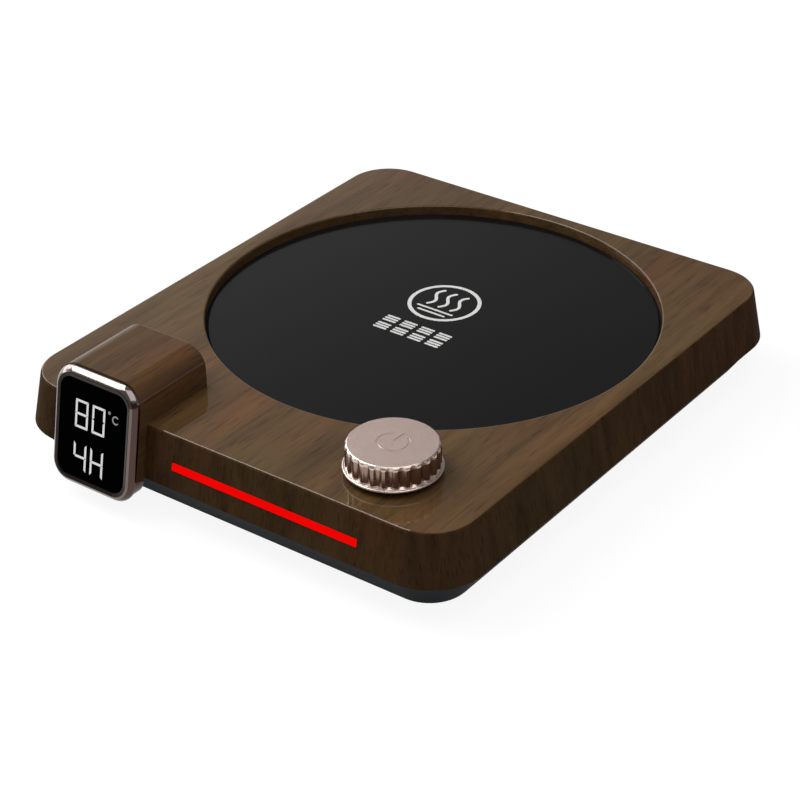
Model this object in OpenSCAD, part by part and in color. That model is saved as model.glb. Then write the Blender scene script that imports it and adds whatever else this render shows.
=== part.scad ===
// Electric mug warmer: a drafted wood-grain housing on a tapered base pan, a sunk glass
// heating plate, a watch-like display head on the front left corner, a fluted push-and-turn
// knob on the front right and a light bar in the front wall. Millimetres, +Z up, front -Y.

/* [Housing] */
// Width of the top face beside the plate's well, at each side
side_margin = 5.5; // [4.5:0.1:15]
// Width of the top face behind the plate's well
rear_margin = 4; // [3.5:0.1:15]
// Depth of the top face in front of the plate's well
panel_d = 28; // [26:0.5:40]
// Height of the housing's drafted wall
wall_h = 14.7; // [13.5:0.1:18]
// Corner radius of the top face
corner_r = 12.7; // [8:0.1:16]
// Outward lean of the walls, in degrees
draft = 10.8; // [6:0.2:13]
// Wall thickness of the housing
shell_t = 2.2; // [1.6:0.1:2.6]
// Rounding of the top edge
top_edge_r = 1; // [0.4:0.1:1.4]

/* [Base pan] */
// Height of the base pan under the housing
base_h = 9.3; // [8.6:0.1:14]
// How far the base pan tapers in from top to bottom
base_taper = 6.4; // [3:0.1:8]
// How far the base pan's top edge is set back under the housing
base_setback = 0.8; // [0.4:0.1:1.2]
// Corner radius at the bottom of the base pan
base_corner_r = 10; // [8:0.5:14]
// Wall and floor thickness of the base pan
base_t = 2; // [1.6:0.1:2.6]
// Distance of the corner screws in from the top face's sides
screw_inset = 13.5; // [13:0.5:16]

/* [Feet] */
// Diameter of a rubber foot
foot_d = 10; // [7:0.5:14]
// How far a foot stands out of the base
foot_h = 1.2; // [0.8:0.1:3]
// Depth of a foot's pocket in the base
foot_pocket = 0.8; // [0.4:0.1:1]
// Distance of the feet in from the top face's sides
foot_inset = 26; // [24:0.5:34]

/* [Heating plate] */
// Diameter of the glass plate
glass_d = 122.6; // [110:0.2:150]
// Thickness of the glass plate
glass_t = 3; // [2.4:0.1:3.4]
// Depth of the glass top below the housing's top face
well_depth = 2.4; // [2:0.1:4.4]
// Radial width of the seal between glass and housing
seal_w = 0.7; // [0.5:0.1:1.2]
// Width of the ledge that carries the glass
ledge_w = 6; // [5:0.5:8]
// Thickness of the ledge that carries the glass
ledge_t = 3.2; // [2.8:0.1:3.6]
// Radial gap between the heat spreader and the ledge
spreader_gap = 4; // [3:0.1:8]
// Number of rings in the heating track
track_rings = 9; // [5:1:10]
// Thickness of the ceramic-felt insulation
felt_t = 2.4; // [1.6:0.1:2.8]

/* [Display head] */
// Width of the display head
head_w = 27.4; // [24:0.1:30]
// Height of the display head
head_h = 31.6; // [28:0.1:33]
// Corner radius of the display head
head_r = 6; // [4:0.1:8]
// How far the display head rises above the top face
head_rise = 11; // [9:0.1:13]
// Distance of the display head's centre from the top face's left side
head_inset = 30.3; // [28:0.05:33]
// How far the display's front stands ahead of the front wall
head_proud = 5.2; // [4.9:0.1:7]
// How far the display head runs back over the top face
head_run = 23.5; // [18:0.5:25]
// Wall thickness of the display head
head_t = 1.8; // [1.4:0.1:2.2]
// Depth of the metal bezel
bezel_d = 2.2; // [2:0.1:3]
// Rounding of the bezel's front edge
bezel_edge_r = 1.7; // [0.6:0.1:1.9]
// Width of the bezel's front rim, beside the window
bezel_rim = 2.35; // [1.2:0.05:2.6]
// Width of the bezel's front rim, above and below the window
bezel_end_rim = 2.6; // [1.2:0.02:2.8]
// Height of a display digit
digit_h = 7.6; // [6:0.1:8]
// Width of a display digit
digit_w = 4.3; // [3.4:0.1:4.6]
// Stroke width of a display digit
stroke = 0.6; // [0.5:0.05:1]

/* [Knob] */
// Distance of the knob's axis from the top face's right side
knob_side = 28.2; // [26:0.1:31]
// Distance of the knob's axis behind the top face's front edge
knob_front = 18.7; // [16:0.1:19]
// Diameter of the fluted skirt
knob_d = 23.6; // [21:0.1:26]
// How far the foot flange stands out of the skirt
knob_rim = 0.7; // [0.5:0.05:1.2]
// Height of the knob from its flange to its top
knob_h = 6.8; // [6.6:0.1:9]
// Gap between the housing and the knob's flange
knob_gap = 1.5; // [1.3:0.1:2.5]
// Number of flutes
flutes = 25; // [16:1:32]
// Depth of a flute
flute_depth = 0.5; // [0.3:0.05:0.7]
// How far the knob travels when it is pressed
press_travel = 0.5; // [0.3:0.1:0.6]
// Diameter of the encoder shaft
shaft_d = 6; // [5:0.1:6]

/* [Light bar] */
// Length of the light bar
bar_l = 57.8; // [40:0.2:60]
// Height of the light bar
bar_h = 2.1; // [2:0.1:3.6]
// Distance of the light bar's centre right of the housing's centre
bar_x = 14.4; // [8:0.1:15]
// Depth of the light bar's centre below the top face
bar_drop = 8.2; // [7:0.1:9]

/* [Control board] */
// Width of the control board
board_w = 76; // [74:1:84]
// Depth of the control board
board_d = 52; // [46:1:56]
// Thickness of the boards
board_t = 1.6; // [1:0.1:1.6]
// Height of the board's standoffs above the base floor
standoff_h = 2.4; // [2:0.1:2.8]

/* [Power inlet] */
// Distance of the inlet's axis from the top face's right side
inlet_inset = 23.5; // [21:0.5:26]
// Depth of the inlet's axis below the top face
inlet_drop = 7.7; // [7.4:0.1:8]
// Bore of the inlet's barrel
inlet_bore = 5.5; // [5:0.1:6]
// Diameter of the inlet's centre pin
inlet_pin_d = 2.1; // [1.9:0.1:2.5]
// Length of the inlet's centre pin
inlet_pin_l = 8; // [6:0.5:8.5]

/* [Hidden] */

// Fineness of exact round parts, of hulled corners and of small round parts
$fn = 96;
hull_fn = 48;
small_fn = 32;
// Overshoot of a cut past the face it opens, and thickness of a hulled outline
cut = 1;
skin = 0.01;
// Radial clearance of a turning or sliding shaft, and of a screw in a plain hole
run_clear = 0.05;
screw_clear = 0.2;

// The plate's well, and the top face round it; the plate lies behind the housing's centre
glass_r = glass_d / 2;
well_r = glass_r + seal_w;
body_w = 2 * (well_r + side_margin);
body_d = panel_d + 2 * well_r + rear_margin;
plate_y = (panel_d - rear_margin) / 2;

// Heights from the table up
base_z = foot_h;
shell_z = base_z + base_h;
top_z = shell_z + wall_h;
floor_z = base_z + base_t;
ceiling_z = top_z - shell_t;
lean = tan(draft);
glass_top = top_z - well_depth;
glass_z = glass_top - glass_t;

// Outlines of the housing and the base, each measured at its own height
shell_flare = wall_h * lean;
base_top_w = body_w + 2 * (shell_flare - base_setback);
base_top_d = body_d + 2 * (shell_flare - base_setback);
base_top_r = corner_r + shell_flare - base_setback;
lip_clear = 0.3;
lip_t = 1.2;
lip_h = 1.5;
lip_notch_w = 15;

// Glass, seal and ledge
well_tube_r = well_r + shell_t;
seal_t = 0.4;
seal_drop = 0.6;
seal_lip = 5;
ledge_top = glass_z - seal_t;
ledge_z = ledge_top - ledge_t;
ledge_r = well_r - ledge_w;
rim_chamfer = 0.5;

// Heater stack, from the glass down
spreader_r = ledge_r - spreader_gap;
element_r = spreader_r - 2;
spreader_t = 1;
track_t = 0.4;
track_w = 2.6;
track_hub_r = 5;
track_pitch = (element_r - track_hub_r) / track_rings;
mica_t = 0.6;
tray_t = 0.6;
tray_clear = 0.5;
spreader_z = glass_z - spreader_t;
track_z = spreader_z - track_t;
mica_z = track_z - mica_t;
felt_z = mica_z - felt_t;
tray_z = felt_z - tray_t;
tray_r = spreader_r + tray_clear + tray_t;
tray_flange_w = 4;
tray_flange_r = ledge_r + tray_flange_w;
tray_screw_r = tray_flange_r - 1.4;
tray_screw_angles = [30, 150, 270];
sensor_hole_r = 3;
sensor_r = 2.5;
terminal_r = 0.8;
terminal_gap = 10;
// The terminals stand on the third ring from the outside
terminal_inset = 2 * track_pitch;
terminal_y = -(element_r - terminal_inset);
terminal_drop = 0.9;
fuse_r = 1.9;
fuse_l = 11;
fuse_x = -17;
fuse_y = 34;
fuse_clip_l = 5;
fuse_clip_t = 0.9;

// Screws: shaft radius, head radius and head height
m3 = [1.45, 2.7, 1.6];
m2 = [1, 1.9, 1.2];
screw_post = [body_w / 2 - screw_inset, body_d / 2 - screw_inset];
post_r = 3.6;
base_post_r = 4.2;
post_drop = 0.7;
post_split_z = shell_z - post_drop;
seat_rise = 0.2;
screw_seat_z = floor_z + seat_rise;
screw_engage = 4.2;
// Gap past a screw's tip in a blind hole, and the least cover over such a hole
tip_gap = 0.4;
hole_cover = 0.8;
foot_at = [body_w / 2 - foot_inset, body_d / 2 - foot_inset];
corners = [[-1, -1], [1, -1], [-1, 1], [1, 1]];

// Display head: its centre on the tilted front plane, and what it holds
head_x = body_w / 2 - head_inset;
head_z = top_z + head_rise - head_h / 2;
head_y = -(body_d / 2 + (top_z - head_z) * lean + head_proud);
face_h = head_h / cos(draft);
window_w = head_w - 2 * bezel_rim;
window_h = face_h - 2 * bezel_end_rim;
window_r = head_r - bezel_rim;
window_t = 1.2;
window_sink = 0.3;
bezel_step = 1.2;
module_side = 1.2;
module_end = 1.8;
module_w = window_w - 2 * (bezel_step + module_side);
module_h = window_h - 2 * (bezel_step + module_end);
module_drop = 0.6;
back_panel_t = 0.9;
module_gap = 0.3;
module_t = head_proud * cos(draft) - window_sink - window_t - back_panel_t - module_gap;
digit_t = 0.15;
digit_gap = 1.3;
digit_top = 8.06;
row_gap = 4.2;
digit_left = -6.05;
unit_gap = 2.2;
unit_drop = 0.7;
unit_w = 2.4;
unit_h = 2.4;
unit_stroke = 0.45;
degree_r = 0.55;
hood_back_y = -(body_d / 2) + head_run;
hood_low_back_y = -(body_d / 2 + shell_flare);
hood_end_wall = 2;
hood_boss_r = 2.4;
hood_screw_gap = 12;
hood_boss_merge = 0.8;
hood_screw_y = hood_back_y - hood_end_wall - hood_boss_r + hood_boss_merge;
hood_boss_h = 4.5;
pass_w = 12;
pass_h = 4.5;
pass_drop = 8;
pass_z = top_z - pass_drop;
small_corner_r = 1;

// The frame's origin is the centre of the box round the whole object, at the table
bezel_reach = (face_h / 2 - bezel_edge_r) * sin(draft) + bezel_edge_r * (1 - cos(draft));
front_y = head_y - bezel_reach;
back_y = body_d / 2 + shell_flare;
centre_shift = -(front_y + back_y) / 2;

// Knob and encoder
knob_x = body_w / 2 - knob_side;
knob_y = body_d / 2 - knob_front;
flange_z = top_z + knob_gap;
knob_top = flange_z + knob_h;
flange_t = 0.7;
flange_edge = 0.2;
knob_chamfer = 0.9;
knob_roof = 1.3;
skirt_t = 2.2;
flute_r = 1.3;
flute_foot = 0.1;
icon_r = 4.3;
icon_w = 0.7;
icon_depth = 0.25;
shaft_r = shaft_d / 2;
bushing_wall = 0.5;
bushing_r = shaft_r + bushing_wall;
bushing_rise = 2.8;
bushing_top = top_z + bushing_rise;
washer_r = 5.8;
washer_t = 0.5;
nut_af = 10;
nut_t = 2;
insert_t = 1.2;
hub_t = 0.8;
hub_gap = 0.2;
hub_z = bushing_top + press_travel + hub_gap;
shaft_top = knob_top - knob_roof;
encoder_w = 12.4;
encoder_h = 6.5;
encoder_z = ceiling_z - encoder_h;
encoder_floor = 0.5;
rotor_r = 4.6;
rotor_clear = 0.3;
rotor_h = 2.5;
rotor_lift = 1.9;
rotor_z = encoder_z + rotor_lift;
encoder_roof = 1.5;
rotor_room_top = ceiling_z - encoder_roof;
stem_step = 0.8;
stem_r = shaft_r - stem_step;
stem_flat_depth = 0.6;
stem_flat = stem_r - stem_flat_depth;
stem_lift = 1.5;
stem_z = encoder_z + stem_lift;
shoulder_z = rotor_z + rotor_h + press_travel + rotor_clear;
dome_z = encoder_z + encoder_floor;
dome_gap = 0.1;
dome_h = stem_z - dome_z - dome_gap;
dome_r = 2.6;
dome_top_r = 0.8;
knob_board_w = 18;
knob_board_d = 16;
knob_board_t = 1.2;

// Light bar, in the frame of the front wall: depths are behind the wall's outer face
lens_proud = 0.15;
lens_flange = 1.5;
lens_flange_t = 0.8;
lens_flange_r = 1.2;
bar_corner_r = 0.3;
wall_depth = shell_t * cos(draft);
bar_z = top_z - bar_drop;
led_count = 6;
led_size = [3, 1.6, 1.2];
strip_h = 6;
strip_t = 1.2;

// Control board and what stands on it
board_z = floor_z + standoff_h;
board_top = board_z + board_t;
board_y = plate_y;
board_hole_inset = 4;
standoff_r = 3;
chip_at = [-8, -3];
chip_size = [9, 9, 1.4];
chip_lift = 0.1;
chip_legs = 7;
chip_leg = [1, 0.4, 0.3];
relay_at = [board_w / 2 - 18, 5];
relay_size = [15, 10, 4];
can_at = [relay_at[0], board_d / 2 - 10];
can_r = 3;
can_h = 4;
buzzer_at = [14 - board_w / 2, board_d / 2 - 16];
buzzer_r = 4.5;
buzzer_h = 3.8;
buzzer_hole_r = 0.9;
plug_size = [7, 5, 3.6];
plug_inset = 3.5;
plug_row_y = board_y - board_d / 2 + plug_inset;
plug_back_y = board_y + board_d / 2 - plug_inset;
plug_xs = [-24, -12, 0, 12, 24];
lead_z = board_top + plug_size[2] / 2;

// Power inlet in the rear wall
inlet_x = body_w / 2 - inlet_inset;
inlet_z = top_z - inlet_drop;
inlet_seat_y = body_d / 2;
inlet_flange_r = 6;
inlet_flange_t = 1;
inlet_barrel_r = 4;
inlet_len = 10.5;
inlet_floor_y = inlet_seat_y - inlet_pin_l;
inlet_pad_r = 6.8;
inlet_pad_t = 3;
inlet_pad_y = inlet_seat_y - inlet_pad_t;
inlet_recess_clear = 0.5;
inlet_nut_af = 11;
inlet_nut_t = 2;
tab = [0.6, 3, 2];
tab_gap = 5;

// Internal leads: radius of a wire, half the thickness and widths of the flat ones, and how
// far a lead's ends hold their direction
lead_r = 0.7;
ribbon_t = 0.5;
display_ribbon_w = 3;
knob_ribbon_w = 2.4;
light_ribbon_w = 1.6;
sensor_ribbon_w = 1.2;
end_pull = 4;
near_pull = 8;
far_pull = 16;
sag = 2;
lead_gap = 2;
lead_rings = 12;
lead_sides = 8;

// ---- shared shapes ----

// Everything is modelled about the housing's centre and moved to the object's own frame
module place() { translate([0, centre_shift, 0]) children(); }

module rounded_plate(w, d, r, h, fn = hull_fn) {
    linear_extrude(h) {
        square([w - 2 * r, d], center = true);
        square([w, d - 2 * r], center = true);
        for (c = corners) translate([c[0] * (w / 2 - r), c[1] * (d / 2 - r)]) circle(r, $fn = fn);
    }
}

// A closed housing outline at height z, grown by the wall's flare below the top face
module shell_slice(z, inset) {
    grow = 2 * ((top_z - z) * lean - inset);
    translate([0, 0, z]) rounded_plate(body_w + grow, body_d + grow, corner_r + grow / 2, skin);
}

module shell_outer() {
    hull() {
        shell_slice(shell_z, 0);
        for (a = [0:22.5:90])
            shell_slice(top_z - skin - top_edge_r * (1 - sin(a)), top_edge_r * (1 - cos(a)));
    }
}

module shell_inner() {
    hull() {
        shell_slice(shell_z - cut, shell_t);
        shell_slice(ceiling_z - skin, shell_t);
    }
}

module base_solid(inset, z_low, z_high) {
    slope = base_taper / base_h;
    hull() for (z = [z_low, z_high - skin]) {
        drop = min(max(shell_z - z, 0), base_h);
        shrink = 2 * (drop * slope + inset);
        share = drop / base_h;
        r = base_top_r + (base_corner_r - base_top_r) * share - inset;
        translate([0, 0, z]) rounded_plate(base_top_w - shrink, base_top_d - shrink, r, skin);
    }
}

module ring(r_out, r_in, h, z = 0, fn = $fn) {
    translate([0, 0, z]) difference() {
        cylinder(r = r_out, h = h, $fn = fn);
        translate([0, 0, -cut]) cylinder(r = r_in, h = h + 2 * cut, $fn = fn);
    }
}

// A screw with its head's bearing face at z = 0, pointing up, and a cross recess in its head
module screw_up(size, length) {
    slot = size[1] * 0.35;
    difference() {
        union() {
            cylinder(r = size[0], h = length, $fn = small_fn);
            translate([0, 0, -size[2]]) cylinder(r = size[1], h = size[2], $fn = small_fn);
        }
        for (turn = [0, 90]) rotate(turn)
            translate([-size[1] * 0.6, -slot / 2, -size[2] - cut])
                cube([size[1] * 1.2, slot, cut + size[2] * 0.45]);
    }
}

module at_plate() { translate([0, plate_y, 0]) children(); }

module at_posts() {
    for (c = corners) translate([c[0] * screw_post[0], c[1] * screw_post[1], 0]) children();
}

module at_tray_screws() {
    at_plate() for (a = tray_screw_angles) rotate(a) translate([tray_screw_r, 0, 0]) children();
}

module at_board_holes() {
    for (c = corners)
        translate([c[0] * (board_w / 2 - board_hole_inset),
                   board_y + c[1] * (board_d / 2 - board_hole_inset), 0]) children();
}

module at_hood_screws() {
    for (s = [-1, 1]) translate([-head_x + s * hood_screw_gap / 2, hood_screw_y, 0]) children();
}

module at_knob() { translate([knob_x, -knob_y, 0]) children(); }

// The display's own frame: X right, Y up along the tilted front, Z straight out of it
module at_display() { translate([-head_x, head_y, head_z]) rotate([90 - draft, 0, 0]) children(); }

// The front wall's frame at height z: X right, Y up along the wall, Z straight out of it
module at_front_wall(x, z) {
    translate([x, -(body_d / 2 + (top_z - z) * lean), z]) rotate([90 - draft, 0, 0]) children();
}

// The inlet's frame: Z points out of the rear wall
module at_inlet(y) { translate([inlet_x, y, inlet_z]) rotate([-90, 0, 0]) children(); }

// A lead from a to b that leaves each end along its own pull vector
function blend(a, pa, b, pb, t) =
    a * pow(1 - t, 3) + 3 * (a + pa) * t * pow(1 - t, 2)
    + 3 * (b + pb) * pow(t, 2) * (1 - t) + b * pow(t, 3);
function unit(v) = v / norm(v);

module lead(a, pa, b, pb, half_w = lead_r, half_t = lead_r, up_hint = [0.03, 0.02, 1]) {
    path = [for (i = [0:lead_rings]) blend(a, pa, b, pb, i / lead_rings)];
    aim = [unit(pa), for (i = [1:lead_rings - 1]) unit(path[i + 1] - path[i - 1]), unit(-pb)];
    points = [for (i = [0:lead_rings]) let (
            side = unit(cross(aim[i], up_hint)),
            up = cross(side, aim[i]))
        for (k = [0:lead_sides - 1]) let (turn = 360 * (k + 0.5) / lead_sides)
            path[i] + side * half_w * cos(turn) + up * half_t * sin(turn)];
    walls = [for (i = [0:lead_rings - 1], k = [0:lead_sides - 1]) let (
            n = (k + 1) % lead_sides, low = i * lead_sides, high = low + lead_sides)
        each [[low + k, high + k, low + n], [low + n, high + k, high + n]]];
    start = [for (k = [0:lead_sides - 1]) k];
    finish = [for (k = [lead_sides - 1:-1:0]) lead_rings * lead_sides + k];
    polyhedron(points, concat(walls, [start], [finish]));
}

// ---- housing ----

module top_shell() {
    color("#4d3b2c") difference() {
        union() {
            difference() {
                shell_outer();
                shell_inner();
            }
            at_plate() ring(well_tube_r, ledge_r, ceiling_z + skin - ledge_z, ledge_z);
            at_posts() translate([0, 0, post_split_z])
                cylinder(r = post_r, h = ceiling_z - post_split_z + skin, $fn = small_fn);
            at_inlet(inlet_pad_y) cylinder(r = inlet_pad_r, h = inlet_pad_t);
        }
        at_plate() translate([0, 0, ledge_top]) cylinder(r = well_r, h = well_depth + glass_t + cut);
        at_plate() translate([0, 0, top_z - rim_chamfer])
            cylinder(r1 = well_r, r2 = well_r + rim_chamfer + cut, h = rim_chamfer + cut);
        at_plate() translate([0, 0, ledge_z - cut]) cylinder(r = ledge_r, h = ledge_t + 2 * cut);
        at_posts() translate([0, 0, post_split_z - cut])
            cylinder(r = m3[0], h = screw_engage + tip_gap + cut, $fn = small_fn);
        at_tray_screws() translate([0, 0, ledge_z - cut])
            cylinder(r = m2[0], h = ledge_t - hole_cover + cut, $fn = small_fn);
        at_hood_screws() translate([0, 0, ceiling_z - cut])
            cylinder(r = m2[0] + screw_clear, h = shell_t + 2 * cut, $fn = small_fn);
        at_knob() translate([0, 0, ceiling_z - cut])
            cylinder(r = bushing_r + screw_clear, h = shell_t + 2 * cut);
        at_front_wall(-head_x, pass_z) translate([0, 0, -wall_depth - cut])
            rounded_plate(pass_w, pass_h, small_corner_r, wall_depth + 2 * cut, small_fn);
        at_front_wall(bar_x, bar_z) translate([0, 0, -wall_depth - cut])
            rounded_plate(bar_l, bar_h, bar_corner_r, wall_depth + 2 * cut, small_fn);
        at_inlet(inlet_pad_y - cut)
            cylinder(r = inlet_barrel_r + run_clear, h = inlet_pad_t + 2 * cut);
        at_inlet(inlet_seat_y) cylinder(r = inlet_flange_r + inlet_recess_clear, h = shell_flare + cut);
    }
}

// The display head's outline, extruded back along Y from y_front
module head_prism(inset, y_front, y_back) {
    translate([-head_x, y_back, head_z]) rotate([90, 0, 0])
        rounded_plate(head_w - 2 * inset, head_h - 2 * inset, head_r - inset, y_back - y_front);
}

module display_hood() {
    far = head_h;
    hood_front_y = front_y - cut;
    color("#4d3b2c") difference() {
        union() {
            difference() {
                head_prism(0, hood_front_y, hood_back_y);
                head_prism(head_t, hood_front_y - cut, hood_back_y - hood_end_wall);
            }
            intersection() {
                head_prism(head_t / 2, hood_front_y, hood_low_back_y);
                at_front_wall(-head_x, head_z) translate([0, 0, skin])
                    rounded_plate(head_w, 2 * far, small_corner_r, back_panel_t);
            }
            at_hood_screws() translate([0, 0, top_z])
                cylinder(r = hood_boss_r, h = hood_boss_h, $fn = small_fn);
        }
        // what lies ahead of the bezel's back
        at_display() translate([-far, -far, -bezel_d]) cube([2 * far, 2 * far, far]);
        // the housing that the hood sits over, and the open space under the housing's edge
        translate([-head_x - far, 0, 0]) rotate([90, 0, 90]) linear_extrude(2 * far)
            polygon([
                [0, top_z], [-body_d / 2, top_z], [hood_low_back_y, shell_z], [hood_low_back_y, 0], [0, 0]
            ]);
        at_hood_screws() translate([0, 0, top_z - cut])
            cylinder(r = m2[0], h = hood_boss_h - hole_cover + cut, $fn = small_fn);
        // the leads' passage
        at_front_wall(-head_x, pass_z) translate([0, 0, -cut])
            rounded_plate(pass_w, pass_h, small_corner_r, 2 * cut + back_panel_t, small_fn);
    }
}

module base_cover() {
    color("#26272a") difference() {
        union() {
            difference() {
                base_solid(0, base_z, shell_z);
                base_solid(base_t, floor_z, shell_z + cut);
            }
            // locating lip inside the housing's wall
            difference() {
                base_solid(shell_t - base_setback + lip_clear, shell_z - 2 * lip_h, shell_z + lip_h);
                base_solid(shell_t - base_setback + lip_clear + lip_t, shell_z - 2 * lip_h - cut,
                           shell_z + lip_h + cut);
            }
            at_posts() translate([0, 0, base_z + base_t / 2])
                cylinder(r = base_post_r, h = post_split_z - base_z - base_t / 2, $fn = small_fn);
            at_board_holes() translate([0, 0, floor_z - skin])
                cylinder(r = standoff_r, h = standoff_h + skin, $fn = small_fn);
        }
        at_posts() {
            translate([0, 0, base_z - cut])
                cylinder(r = m3[1] + screw_clear, h = screw_seat_z - base_z + cut, $fn = small_fn);
            cylinder(r = m3[0] + screw_clear, h = post_split_z + cut, $fn = small_fn);
        }
        at_board_holes() translate([0, 0, floor_z])
            cylinder(r = m2[0], h = standoff_h + cut, $fn = small_fn);
        for (c = corners) translate([c[0] * foot_at[0], c[1] * foot_at[1], base_z - cut])
            cylinder(d = foot_d, h = foot_pocket + cut, $fn = small_fn);
        // the lip's notch for the inlet
        translate([inlet_x - lip_notch_w / 2, inlet_pad_y - cut, shell_z])
            cube([lip_notch_w, body_d, lip_h + 2 * cut]);
    }
}

module rubber_feet() {
    edge = foot_h / 3;
    color("#1b1b1b") for (c = corners) translate([c[0] * foot_at[0], c[1] * foot_at[1], 0]) {
        cylinder(d1 = foot_d - 2 * edge, d2 = foot_d, h = edge, $fn = small_fn);
        translate([0, 0, edge]) cylinder(d = foot_d, h = foot_h + foot_pocket - edge, $fn = small_fn);
    }
}

module housing_screws() {
    color("#8d8f92") at_posts() translate([0, 0, screw_seat_z])
        screw_up(m3, post_split_z - screw_seat_z + screw_engage);
}

module hood_screws() {
    color("#8d8f92") at_hood_screws() translate([0, 0, ceiling_z])
        screw_up(m2, shell_t + hood_boss_h - hole_cover - tip_gap);
}

// ---- display ----

module display_bezel() {
    edge_turns = [0:30:90];
    color("#b99a8c") at_display() difference() {
        hull() {
            translate([0, 0, -bezel_d]) rounded_plate(head_w, face_h, head_r, skin);
            for (a = edge_turns) {
                inset = bezel_edge_r * (1 - cos(a));
                translate([0, 0, -skin - bezel_edge_r * (1 - sin(a))])
                    rounded_plate(head_w - 2 * inset, face_h - 2 * inset, head_r - inset, skin);
            }
        }
        translate([0, 0, -window_sink - window_t])
            rounded_plate(window_w, window_h, window_r, window_t + window_sink + cut);
        translate([0, 0, -bezel_d - cut])
            rounded_plate(window_w - 2 * bezel_step, window_h - 2 * bezel_step, window_r - bezel_step,
                          bezel_d + 2 * cut);
    }
}

module display_window() {
    color("#060607") at_display() translate([0, 0, -window_sink - window_t])
        rounded_plate(window_w, window_h, window_r, window_t);
}

module display_module() {
    color("#e9e9e4") at_display() translate([0, -module_drop, -window_sink - window_t - module_t])
        rounded_plate(module_w, module_h, small_corner_r, module_t, small_fn);
}

// Seven-segment strokes: which segments are lit, from the top bar clockwise, then the middle bar
module segment_digit(x, y, lit, w = digit_w, h = digit_h, t = stroke) {
    half = h / 2;
    nick = t * 0.12;
    bars = [
        [[0, h - t], [w, t]], [[w - t, half + nick], [t, half - nick]], [[w - t, 0], [t, half - nick]],
        [[0, 0], [w, t]], [[0, 0], [t, half - nick]], [[0, half + nick], [t, half - nick]],
        [[0, half - t / 2], [w, t]]
    ];
    translate([x, y, 0]) linear_extrude(digit_t)
        for (i = [0:6]) if (lit[i]) translate(bars[i][0]) square(bars[i][1]);
}

module display_digits() {
    second = digit_left + digit_w + digit_gap;
    unit_x = second + digit_w + unit_gap;
    low = digit_top - 2 * digit_h - row_gap;
    color("white") at_display() translate([0, 0, -window_sink]) {
        segment_digit(digit_left, digit_top - digit_h, [true, true, true, true, true, true, true]);
        segment_digit(second, digit_top - digit_h, [true, true, true, true, true, true, false]);
        segment_digit(unit_x, digit_top - unit_h - unit_drop, [true, false, false, true, true, true, false],
                      unit_w, unit_h, unit_stroke);
        translate([unit_x - 2 * degree_r, digit_top - degree_r, 0])
            ring(degree_r, degree_r / 2, digit_t, 0, small_fn);
        segment_digit(digit_left, low, [false, true, true, false, false, true, true]);
        segment_digit(second, low, [false, true, true, false, true, true, true]);
    }
}

// ---- heating plate ----

module glass_plate() {
    color("#242527") at_plate() translate([0, 0, glass_z]) cylinder(r = glass_r, h = glass_t);
}

module plate_seal() {
    color("#101010") at_plate() rotate_extrude()
        polygon([
            [well_r - seal_lip, ledge_top], [well_r, ledge_top], [well_r, glass_top - seal_drop],
            [glass_r, glass_top - seal_drop], [glass_r, glass_z], [well_r - seal_lip, glass_z]
        ]);
}

module heat_spreader() {
    color("#c9cccf") at_plate() translate([0, 0, spreader_z]) cylinder(r = spreader_r, h = spreader_t);
}

module at_terminals() {
    for (s = [-1, 1]) translate([s * terminal_gap / 2, terminal_y, 0]) children();
}

module heating_element() {
    color("#a8743c") at_plate() {
        for (i = [1:track_rings])
            ring(track_hub_r + i * track_pitch, track_hub_r + i * track_pitch - track_w, track_t, track_z);
        // links between neighbouring rings, and the two terminal posts
        for (turn = [0, 180]) rotate(turn) translate([track_hub_r + track_pitch / 2, -track_w / 2, track_z])
            cube([track_pitch * (track_rings - 0.8), track_w, track_t]);
        at_terminals() translate([0, 0, tray_z - terminal_drop])
            cylinder(r = terminal_r, h = track_z + track_t - tray_z + terminal_drop, $fn = small_fn);
    }
}

module mica_sheet() {
    color("#cbb68c") at_plate() difference() {
        ring(spreader_r, sensor_hole_r, mica_t, mica_z);
        at_terminals() cylinder(r = terminal_r + screw_clear, h = top_z, $fn = small_fn);
    }
}

module insulation_felt() {
    color("#ecebe6") at_plate() difference() {
        ring(spreader_r, sensor_hole_r, felt_t, felt_z);
        at_terminals() cylinder(r = terminal_r + screw_clear, h = top_z, $fn = small_fn);
    }
}

module heater_tray() {
    flange_z = ledge_z - tray_t;
    color("#9b9fa3") difference() {
        union() {
            at_plate() translate([0, 0, tray_z]) cylinder(r = tray_r, h = ledge_z - tray_z);
            at_plate() translate([0, 0, flange_z]) cylinder(r = tray_flange_r, h = tray_t);
            // the clip that holds the thermal fuse
            translate([fuse_x - fuse_clip_l / 2, plate_y + fuse_y - fuse_r - fuse_clip_t,
                       tray_z - 2 * fuse_r - fuse_clip_t])
                cube([fuse_clip_l, 2 * (fuse_r + fuse_clip_t), 2 * fuse_r + fuse_clip_t + skin]);
        }
        at_plate() translate([0, 0, felt_z]) cylinder(r = tray_r - tray_t, h = ledge_z);
        at_plate() cylinder(r = sensor_hole_r, h = top_z);
        at_plate() at_terminals() cylinder(r = terminal_r + 2 * screw_clear, h = top_z, $fn = small_fn);
        at_tray_screws() cylinder(r = m2[0] + screw_clear, h = top_z, $fn = small_fn);
        translate([fuse_x - fuse_clip_l, plate_y + fuse_y, tray_z - fuse_r]) rotate([0, 90, 0])
            cylinder(r = fuse_r, h = 2 * fuse_clip_l);
    }
}

module tray_screws() {
    color("#8d8f92") at_tray_screws() translate([0, 0, ledge_z - tray_t])
        screw_up(m2, tray_t + ledge_t - hole_cover - tip_gap);
}

module thermistor() {
    color("#c7a24a") at_plate() translate([0, 0, tray_z]) cylinder(r = sensor_r, h = spreader_z - tray_z);
}

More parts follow.
